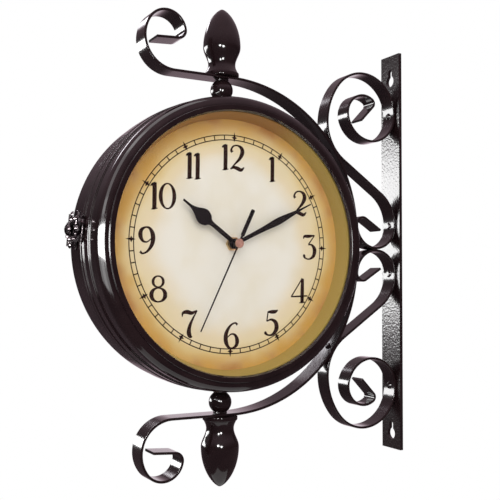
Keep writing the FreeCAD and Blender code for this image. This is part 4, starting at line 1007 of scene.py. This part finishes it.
@dataclass
class DialPrint:
    """Numerals, minute track and hour marks of a dial, in millimetres."""

    side: Side
    numeral_height: float = 20.3
    weight: float = 1.1
    single_radius: float = 70.4
    double_radius: float = 67.2
    turn: float = 0.96
    track_outer: float = 84.3
    track_inner: float = 80.7
    track_sides: int = 240
    oval_steps: int = 49
    line_width: float = 0.78
    tick_width: float = 0.85
    star_out: float = 4.6
    star_in: float = 3.3
    star_side: float = 2.4
    star_waist: float = 0.85
    lift: float = 0.04

    def level(self) -> float:
        """Distance of the print from the drum's middle plane, just in front of the dial."""
        return self.side.levels("dial")[1] + self.lift

    def strokes(self, digit: str) -> list[Array]:
        """Lines of a digit with their widths, as shares of its height.

        Args:
            digit: The digit.

        Returns:
            Points with place and width for each line.
        """
        if digit == "9":
            far_corner = np.array([WIDTH_SHARES["9"], 1.0, 0.0])
            return [far_corner + line * np.array([-1, -1, 1]) for line in self.strokes("6")]
        lines = [smooth_line(np.array(knots)) for knots in STROKE_SHARES.get(digit, ())]
        angle = np.linspace(0, math.tau, self.oval_steps)
        for across, up, half, rise, thin, thick in OVAL_SHARES.get(digit, ()):
            width = thin + (thick - thin) * np.cos(angle)**2
            lines.append(np.column_stack([across + half * np.cos(angle), up + rise * np.sin(angle), width]))
        return lines

    def numerals(self) -> None:
        """Make the numerals 1 to 12, upright on their circle."""
        surface = Surface(f"{self.side.prefix}_numerals", self.side.turn)
        for hour in range(1, 13):
            word = str(hour)
            radius = self.single_radius if len(word) == 1 else self.double_radius
            angle = math.radians(hour * HOUR_DEGREES + self.turn / 2)
            width = sum(WIDTH_SHARES[digit] for digit in word)
            corner = clockwise(np.array([0.0, radius]), angle)
            corner = corner - np.array([width, 1.0]) * self.numeral_height / 2
            for digit in word:
                for line in self.strokes(digit):
                    self.stroke(surface, line * self.numeral_height, corner)
                corner = corner + np.array([WIDTH_SHARES[digit] * self.numeral_height, 0.0])
        surface.piece(INK, self.side.body, "dial_print")

    def stroke(self, surface: Surface, line: Array, corner: Array) -> None:
        """Lay one line of a digit down as a flat strip, p(i, s) = q_i + s w_i n_i / 2.

        Args:
            surface: Where it goes.
            line: Place q and width w of each point.
            corner: Lower left corner of the digit.
        """
        side = left_of(np.gradient(line[:, :2], axis=0)) * line[:, 2:] * self.weight / 2
        middle = line[:, :2] + corner
        strip = np.stack([middle + side, middle - side], axis=1)
        level = np.full(strip.shape[:2] + (1,), self.level())
        surface.sheet(np.concatenate([strip, level], axis=-1), closed_columns=False)

    def track(self) -> None:
        """Make the two lines of the minute track, its ticks and the hour marks."""
        surface = Surface(f"{self.side.prefix}_track", self.side.turn)
        level, inner, outer = self.level(), self.track_inner, self.track_outer
        for radius in (outer, inner):
            reach = np.array([(radius + self.line_width / 2, level), (radius - self.line_width / 2, level)])
            surface.sheet(lathe(reach, self.track_sides))
        half, waist, side = self.tick_width / 2, self.star_waist, self.star_side
        tick = np.array([(-half, inner), (half, inner), (half, outer), (-half, outer)])
        star = np.array([(0, self.star_out), (waist, waist), (side, 0), (waist, -waist), (0, -self.star_in),
                         (-waist, -waist), (-side, 0), (-waist, waist)]) + np.array([0, (outer + inner) / 2])
        for minute in range(60):
            angle = math.radians(minute * MINUTE_DEGREES + self.turn)
            shape = clockwise(tick if minute % HOUR_MINUTES else star, angle)
            surface.polygon(np.column_stack([shape, np.full(len(shape), level)]))
        surface.piece(INK, self.side.body, "dial_print")


class HandShape(Enum):
    """Each hand's name, clockwise angle in degrees, hub radius and half-widths along it, in millimetres."""

    HOUR = ("hour", -54.0, 4.1, ((1.7, 0.0), (1.8, 14.0), (2.0, 25.5), (4.6, 28.6), (6.2, 33.0), (5.2, 37.0),
                                 (2.9, 41.0), (1.3, 45.5), (0.9, 50.0), (0.8, 54.0)))
    MINUTE = ("minute", 63.7, 3.2, ((1.6, 0.0), (1.6, 12.0), (2.0, 28.0), (2.8, 42.0), (1.9, 54.0),
                                    (0.8, 66.0), (0.5, 75.9)))
    SECOND = ("second", 205.5, 2.6, ((0.62, 0.0), (0.55, 30.0), (0.45, 73.6)))

    def __init__(self, word: str, degrees: float, hub: float, knots: tuple[Span, ...]) -> None:
        """Give the values their names."""
        self.word, self.angle, self.hub, self.knots = word, math.radians(degrees), hub, knots

    def outline(self) -> Array:
        """Smooth outline through the half-widths, anticlockwise, along the hand from its middle."""
        right = smooth_line(np.array(self.knots), HAND_STEPS)
        return np.concatenate([right, right[::-1] * np.array([-1.0, 1.0])])


@dataclass
class Hands:
    """The three hands of one side with their hubs and the cap, in millimetres."""

    side: Side
    bevel: float = 0.18
    thickest: float = 0.6
    hub_edge: float = 0.35
    hub_edge_share: float = 0.4
    hub_support: float = 0.05
    hub_sides: int = 48
    cap: float = 3.6
    cap_thick: float = 0.9
    tail_near: float = 6.0
    tail_slope: float = 1.0
    tail_far: float = 29.0
    tail_half: float = 1.6
    neck_half: float = 0.8
    tail_edges: tuple[float, ...] = (0, 0.2, 0.2, 1.0)
    tail_support: float = 0.02

    def hub(self, surface: Surface, radius: float, low: float, high: float) -> None:
        """Add a round hub with a soft edge.

        Args:
            surface: Where it goes.
            radius: Its radius.
            low: Level of its back.
            high: Level of its front.
        """
        edge = min(self.hub_edge, (high - low) * self.hub_edge_share)
        corners = np.array([(0.0, low), (radius, low), (radius, high), (0.0, high)])
        profile = rounded(corners, np.array([0, 0, edge, 0]), support=self.hub_support)
        surface.sheet(lathe(profile, self.hub_sides))

    def tail(self) -> Array:
        """Outline of the second hand's tail: a slim neck and a paddle with round corners.

        Returns:
            Points anticlockwise.
        """
        half = np.array([(self.neck_half, 0.0), (self.neck_half, self.tail_near),
                         (self.tail_half, self.tail_near + self.tail_slope), (self.tail_half, self.tail_far)])
        corners = np.concatenate([-half, half[::-1] * np.array([1.0, -1.0])])
        edges = np.array(self.tail_edges + self.tail_edges[::-1])
        return rounded(corners, edges, closed=True, support=self.tail_support)

    def build(self) -> None:
        """Make the hands."""
        for shape in HandShape:
            low, high = self.side.levels(f"{shape.word}_hand")
            thick = min(high - low, self.thickest)
            surface = Surface(f"{self.side.prefix}_{shape.word}_pointer", self.side.turn)
            plate(surface, clockwise(shape.outline(), shape.angle), low, low + thick, self.bevel)
            capped = shape is HandShape.SECOND
            self.hub(surface, shape.hub, low, max(high - self.cap_thick, low + thick) if capped else high)
            body = f"{self.side.prefix}_{shape.word}"
            if capped:
                plate(surface, clockwise(self.tail(), shape.angle), low, low + thick, self.bevel)
                cap = Surface(f"{self.side.prefix}_hand_cap", self.side.turn)
                self.hub(cap, self.cap, high - self.cap_thick, high)
                cap.piece(COPPER, body, "brass")
            surface.piece(HAND_ENAMEL, body, "hand_enamel", (f"{body}_hand",))


def wavy_oval(middle: float, half: Span, lobes: int, depth: float, steps: int) -> Array:
    """An oval with a wavy edge, p(t) = (m, 0) + (a cos t, b sin t)(1 - k + k cos n t).

    Args:
        middle: Its middle m, to the right.
        half: Half of its length a and of its height b.
        lobes: Number n of its waves.
        depth: Share k of its size that the waves take.
        steps: Points of the outline.

    Returns:
        Points anticlockwise.
    """
    angle = np.linspace(0, math.tau, steps, endpoint=False)
    swell = 1 - depth + depth * np.cos(lobes * angle)
    return np.column_stack([middle + half[0] * swell * np.cos(angle), half[1] * swell * np.sin(angle)])


@dataclass
class Clasp:
    """The ornate clasp on the drum's left: a scalloped tongue with knobs and a flower, in millimetres."""

    case: float = 114.3
    low: float = 117.0
    thick: float = 1.6
    edge: float = 0.45
    middle: float = -5.5
    half_length: float = 11.4
    half_height: float = 10.6
    outline_steps: int = 144
    lobes: int = 6
    lobe_share: float = 0.2
    flower_at: float = -11.0
    flower: float = 5.4
    flower_top: float = 123.2
    flower_tilt: Span = (0.62 * math.pi, 0.03)
    flower_dome: float = 0.58
    flower_grid: tuple[int, int] = (30, 90)
    petals: int = 5
    petal_share: float = 0.14
    petal_dent: float = 0.05
    knob: float = 2.2
    knob_rise: float = 2.6
    knob_share: float = 0.8
    knob_grid: tuple[int, int] = (12, 28)
    neck_edge: float = 0.2
    barrel_at: float = -19.0
    barrel_radius: float = 1.8
    barrel_bore: float = 0.9
    barrel_half: float = 5.7
    barrel_edge: float = 0.3
    barrel_support: float = 0.1
    barrel_sides: int = 40
    backing_gap: float = 1.2
    backing_edge: float = 0.4
    backing_lobes: int = 4
    backing_waist: float = 0.1
    backing_knob: Span = (2.4, 1.6)
    backing_steps: int = 120
    plate_at: float = -12.8
    plate_half: Span = (11.2, 14.9)
    plate_knobs: Span = (11.6, -11.6)
    catch_at: float = 4.8
    catch_half: Span = (3.2, 10.0)

    def scallop(self, share: float) -> Array:
        """Outline of the tongue at a share of its size."""
        half = (self.half_length * share, self.half_height * share)
        return wavy_oval(self.middle, half, self.lobes, self.lobe_share, self.outline_steps)

    def dome(self, surface: Surface, place: Span, radius: float, rise: float) -> None:
        """Add a round knob, half an ellipse turned about its own axis.

        Args:
            surface: Where it goes.
            place: Its middle, to the right and up.
            radius: Its radius.
            rise: How far it stands out of the tongue.
        """
        base = self.low + self.thick - self.edge
        rows, sides = self.knob_grid
        tilt = np.linspace(0, math.pi / 2, rows)
        profile = np.column_stack([radius * np.cos(tilt), base + rise * np.sin(tilt)])
        surface.sheet(lathe(profile, sides) + np.array([*place, 0.0]))

    def blossom(self, surface: Surface) -> None:
        """Add the flower, with w = cos n t for its petals.

        r(s, t) = R sin s (1 - k + k w sin^2 s), z(s, t) = H (1 - d + d cos s) (1 - e (1 + w) sin s).

        Args:
            surface: Where it goes.
        """
        rows, sides = self.flower_grid
        tilt = np.linspace(*self.flower_tilt, rows)[:, None]
        angle = np.linspace(0, math.tau, sides, endpoint=False)[None, :]
        wave = np.cos(self.petals * angle)
        base = self.low + self.thick
        radius = 1 - self.petal_share + self.petal_share * np.sin(tilt)**2 * wave
        radius = self.flower * np.sin(tilt) * radius
        rise = 1 - self.flower_dome + self.flower_dome * np.cos(tilt)
        level = base + (self.flower_top - base) * rise * (1 - self.petal_dent * (1 + wave) * np.sin(tilt))
        surface.sheet(np.stack([self.flower_at + radius * np.cos(angle), radius * np.sin(angle),
                                np.minimum(level, self.flower_top)], axis=-1))

    def barrel(self, surface: Surface) -> None:
        """Add the barrel that turns on the pin, a tube along the drum's side.

        Args:
            surface: Where it goes.
        """
        inner, outer, half, edge = self.barrel_bore, self.barrel_radius, self.barrel_half, self.barrel_edge
        corners = np.array([(inner, -half), (outer, -half), (outer, half), (inner, half)])
        profile = rounded(corners, np.array([0, edge, edge, 0]), support=self.barrel_support)
        place = np.array([self.barrel_at, 0.0, self.low + self.thick / 2])
        surface.sheet(lathe(profile, self.barrel_sides)[..., (0, 2, 1)] + place, closed_rows=True)

    def backing(self, name: str, body: str, middle: float, half: Span,
                knobs: tuple[float, ...] = ()) -> Piece:
        """Make a plate with a wavy outline and perhaps knobs, bent round the case.

        Args:
            name: The node it stands for.
            body: The body it rides on.
            middle: Its middle, to the right.
            half: Half of its length and height.
            knobs: How far up its knobs sit.

        Returns:
            The piece.
        """
        outline = wavy_oval(middle, half, self.backing_lobes, self.backing_waist, self.backing_steps)
        surface = Surface(f"{name}_casting", Turn.CLASP)
        plate(surface, outline, self.case, self.low - self.backing_gap, self.backing_edge)
        for up in knobs:
            self.dome(surface, (middle, up), *self.backing_knob)
        flat = np.concatenate(surface.points)
        drop = self.case - np.sqrt(self.case**2 - flat[:, 1]**2)
        surface.points = [flat - np.outer(drop, (0.0, 0.0, 1.0))]
        return surface.piece(ANTIQUE, body, "antique_brass", (name,))

    def build(self) -> list[Piece]:
        """Make the clasp's tongue, plate and catch.

        Returns:
            The pieces.
        """
        surface = Surface("clasp_ornament", Turn.CLASP)
        plate(surface, self.scallop(1.0), self.low, self.low + self.thick, self.edge)
        neck = np.array([(self.barrel_at, -self.barrel_half), (self.middle, -self.barrel_half),
                         (self.middle, self.barrel_half), (self.barrel_at, self.barrel_half)])
        plate(surface, neck, self.low, self.low + self.thick - self.neck_edge, self.neck_edge)
        for across, up in self.scallop(self.knob_share)[::self.outline_steps // self.lobes]:
            self.dome(surface, (across, up), self.knob, self.knob_rise)
        self.blossom(surface)
        self.barrel(surface)
        return [surface.piece(ANTIQUE, "clasp_tongue", "antique_brass", ("clasp_tongue",)),
                self.backing("clasp_plate", "drum", self.plate_at, self.plate_half, self.plate_knobs),
                self.backing("clasp_catch", "front_half", self.catch_at, self.catch_half)]


class Seen(Enum):
    """Which surfaces a lamp lights: matt ones, or only the mirrors in glossy ones."""

    MATT = "matt"
    GLOSS = "gloss"


@dataclass(frozen=True)
class Lamp:
    """A flat lamp: its width and height in metres, how bright it looks and which surfaces it lights."""

    size: Span
    radiance: float
    seen: Seen = Seen.GLOSS


@dataclass(frozen=True)
class Glow:
    """A soft band of light in the surroundings.

    Its height on the sphere of directions, its spread there, and the bearings in degrees where it starts, is
    full, is still full and ends.
    """

    level: float
    spread: float
    sweep: tuple[float, float, float, float]

    def brightness(self, recipe: Recipe, way: bpy.types.Node) -> Socket:
        """Brightness of the band, exp(-((z - level) / spread)^2) between its bearings.

        Args:
            recipe: The world's tree.
            way: The direction's three values.

        Returns:
            The brightness.
        """
        bearing = recipe.math("ARCTAN2", way.outputs[0], way.outputs[1])
        height = recipe.math("DIVIDE", recipe.math("SUBTRACT", way.outputs[2], self.level), self.spread)
        fade = recipe.math("EXPONENT", recipe.math("MULTIPLY", recipe.math("MULTIPLY", height, height), -1.0))
        start, full_start, full_end, end = (math.radians(angle) for angle in self.sweep)
        left = recipe.stretch(bearing, (start, full_start))
        right = recipe.stretch(bearing, (full_end, end), (1.0, 0.0))
        return recipe.math("MULTIPLY", fade, recipe.math("MULTIPLY", left, right))


def toward(bearing: float, rise: float) -> Array:
    """Direction at a bearing in degrees from +Y to +X, which rises so much for each unit of its run."""
    return np.array([math.sin(math.radians(bearing)), math.cos(math.radians(bearing)), rise])


@dataclass
class Studio:
    """Camera, lamps, white surroundings and the floor, in metres."""

    place: tuple[float, float, float] = (-0.46621, -0.58597, -0.03261)
    yaw: float = 28.68
    pitch: float = 2.51
    roll: float = 0.2
    lens: float = 59.58
    sensor: float = 36.0
    near: float = 0.01
    skylight_far: float = 8.0
    skylight_sweep: Span = (-54.0, -19.0)
    skylight_rise: float = 0.076
    skylight_spread: float = 0.069
    skylight_taper: float = 0.012
    skylight_level: float = 56.0
    skylight_steps: int = 6
    window: Lamp = Lamp((0.86, 0.2), 24.0)
    window_far: float = 0.7
    window_bearing: float = -114.0
    window_rise: float = 0.03
    sill: Lamp = Lamp((0.86, 0.2), 2.0)
    sill_drop: float = 0.2
    pane: Lamp = Lamp((0.3, 0.6), 1.4)
    pane_rises: tuple[int, ...] = (0, 38, 72)
    sky: Lamp = Lamp((0.9, 0.9), 2.1, Seen.MATT)
    sky_place: tuple[float, float, float] = (-0.32, -0.93, 0.55)
    flash: Lamp = Lamp((0.11, 0.11), 40.0)
    flash_places: tuple[tuple[str, float, float], ...] = (("left", -0.12, 0.11), ("right", 0.12, 0.04))
    back_band: Glow = Glow(0.485, 0.035, (-22.0, -14.0, 0.0, 8.0))
    back_level: float = 8.0
    backdrop: Glow = Glow(0.04, 0.3, (8.7, 12.7, 44.7, 48.7))
    ground_heights: Span = (-0.20, -0.02)
    ground_levels: Span = (0.07, 0.04)
    ceiling_heights: Span = (0.1, 0.7)
    ceiling_levels: Span = (0.0, 0.28)
    matt_level: float = 0.62
    dim_hue: Colour = (1.0, 0.74, 0.84)
    bright_hue: Colour = (0.98, 0.95, 1.0)
    hue_levels: Span = (0.3, 1.5)
    floor_height: float = -0.9
    floor_reach: float = 0.5

    def view(self) -> Matrix:
        """The camera's matrix: rolled about its own axis, tipped up from looking down, turned to its yaw.

        Returns:
            The matrix in the world.
        """
        turns = ((-self.yaw, "Z"), (90.0 + self.pitch, "X"), (self.roll, "Z"))
        yaw, tip, roll = (Matrix.Rotation(math.radians(angle), 4, axis) for angle, axis in turns)
        return Matrix.Translation(self.place) @ yaw @ tip @ roll

    def camera(self) -> None:
        """Set up the camera."""
        data = bpy.data.cameras.new("camera")
        data.lens = self.lens
        data.sensor_width = self.sensor
        data.clip_start = self.near
        camera = added("camera", data)
        camera.matrix_world = self.view()
        bpy.context.scene.camera = camera

    def panel(self, name: str, place: Array, lamp: Lamp, receivers: list[Piece] | None = None) -> None:
        """Add a flat lamp that looks at the drum.

        Args:
            name: Its name.
            place: Where it is.
            lamp: What it is.
            receivers: The pieces it lights, or none for all.
        """
        data = bpy.data.lights.new(name, "AREA")
        data.shape = "RECTANGLE"
        data.size, data.size_y = lamp.size
        data.energy = lamp.radiance * math.pi * lamp.size[0] * lamp.size[1]
        panel = added(name, data)
        ahead = Vector(CENTRE) - Vector(place)
        panel.matrix_world = Matrix.Translation(place) @ ahead.to_track_quat("-Z", "Y").to_matrix().to_4x4()
        panel.visible_camera = False
        panel.visible_glossy = lamp.seen is Seen.GLOSS
        panel.visible_diffuse = lamp.seen is Seen.MATT
        if receivers:
            group = bpy.data.collections.new(f"{name} receivers")
            for piece in receivers:
                group.objects.link(piece)
            panel.light_linking.receiver_collection = group

    def surroundings(self) -> None:
        """White for the camera, soft light for matt surfaces, white card in a dim room for glossy ones."""
        world = bpy.data.worlds.new("studio")
        world.use_nodes = True
        world.node_tree.nodes.clear()
        bpy.context.scene.world = world
        recipe = Recipe(world.node_tree)
        way = recipe.put("ShaderNodeSeparateXYZ", {0: recipe.put("ShaderNodeTexCoord").outputs["Generated"]})
        ground = recipe.stretch(way.outputs[2], self.ground_heights, self.ground_levels)
        ceiling = recipe.stretch(way.outputs[2], self.ceiling_heights, self.ceiling_levels)
        room = recipe.math("ADD", ground, ceiling)
        card = recipe.math("MAXIMUM", room, self.backdrop.brightness(recipe, way))
        shine = recipe.math("MULTIPLY_ADD", self.back_band.brightness(recipe, way), self.back_level, card)
        path = recipe.put("ShaderNodeLightPath").outputs
        soft = recipe.between(path["Is Glossy Ray"], self.matt_level, shine)
        clear = recipe.math("MAXIMUM", path["Is Camera Ray"], path["Is Transmission Ray"])
        hue = recipe.blend(recipe.stretch(shine, self.hue_levels), self.dim_hue, self.bright_hue)
        tint = recipe.blend(path["Is Glossy Ray"], WHITE, hue)
        light = {"Color": tint, "Strength": recipe.between(clear, soft, 1.0)}
        recipe.put("ShaderNodeOutputWorld", {"Surface": recipe.put("ShaderNodeBackground", light).outputs[0]})

    def skylight(self, bracket: list[Piece]) -> None:
        """Hang a far soft light for the bracket: nested panels whose sum fades as exp(-(z / spread)^2).

        Args:
            bracket: The pieces that mirror it.
        """
        first, last = self.skylight_sweep
        place = CENTRE + self.skylight_far * toward((first + last) / 2, self.skylight_rise)
        for step in range(self.skylight_steps):
            share = (step + 0.5) / self.skylight_steps
            high = 2 * self.skylight_far * self.skylight_spread * math.sqrt(-math.log(share))
            half = math.radians(last - first) / 2 - self.skylight_taper * step
            wide = 2 * self.skylight_far * math.tan(half)
            lamp = Lamp((wide, high), self.skylight_level / self.skylight_steps)
            self.panel(f"skylight_{step}", place, lamp, bracket)

    def floor(self) -> None:
        """Lay a pale floor below the clock."""
        mesh = bpy.data.meshes.new("floor")
        corners = np.array([(-1, -1, 0), (1, -1, 0), (1, 1, 0), (-1, 1, 0)]) * self.floor_reach
        mesh.from_pydata((corners + (CENTRE[0], 0.0, self.floor_height)).tolist(), [], [(0, 1, 2, 3)])
        mesh.materials.append(FLOOR.material())
        floor = added("floor", mesh)

    def build(self, bracket: list[Piece], case: list[Piece], clasp: list[Piece]) -> None:
        """Set up the whole studio.

        Args:
            bracket: The pieces of the bracket, which mirror a far skylight and two flashes.
            case: The halves of the case, which mirror a window at the left.
            clasp: The pieces of the clasp, which mirror the window and the flashes.
        """
        self.camera()
        self.surroundings()
        self.skylight(bracket)
        self.floor()
        left = CENTRE + self.window_far * toward(self.window_bearing, self.window_rise)
        self.panel("window", left, self.window, case + clasp)
        self.panel("sill", left - np.array([0.0, 0.0, self.sill_drop]), self.sill, case + clasp)
        for rise in self.pane_rises:
            angle = math.radians(rise)
            way = toward(self.window_bearing, math.tan(angle)) * math.cos(angle)
            self.panel(f"pane_{rise}", CENTRE + self.window_far * way, self.pane, case + clasp)
        self.panel("sky", CENTRE + np.array(self.sky_place), self.sky)
        view = self.view()
        for word, across, up in self.flash_places:
            place = np.array(view @ Vector((across, up, 0.0)))
            self.panel(f"flash_{word}", place, self.flash, bracket + clasp)


def dress_nodes() -> None:
    """Give every node of the frame the finish of its material slot."""
    for part in frame["record"]["subparts"]:
        node = frame["nodes"][part["node"]]
        finish = STRAP_ENAMEL if part["node"] == "wall_strap" else SLOT_FINISH[part["material_slot"]]
        node.data.materials.clear()
        node.data.materials.append(finish.material())


def main() -> None:
    """Dress the clock and set up its studio."""
    logging.basicConfig(level=logging.INFO)
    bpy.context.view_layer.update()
    dress_nodes()
    bracket = Bracket().build()
    bracket += [frame["nodes"][node] for node in frame["record"]["behaviour"]["bodies"]["bracket"]]
    case = [Case(side).build() for side in Side]
    for side in Side:
        dial = DialPrint(side)
        dial.numerals()
        dial.track()
        Hands(side).build()
    clasp = Clasp().build()
    Studio().build(bracket, case, clasp)
    bpy.context.scene.view_settings.view_transform = "Standard"


if __name__ == "__main__":
    main()
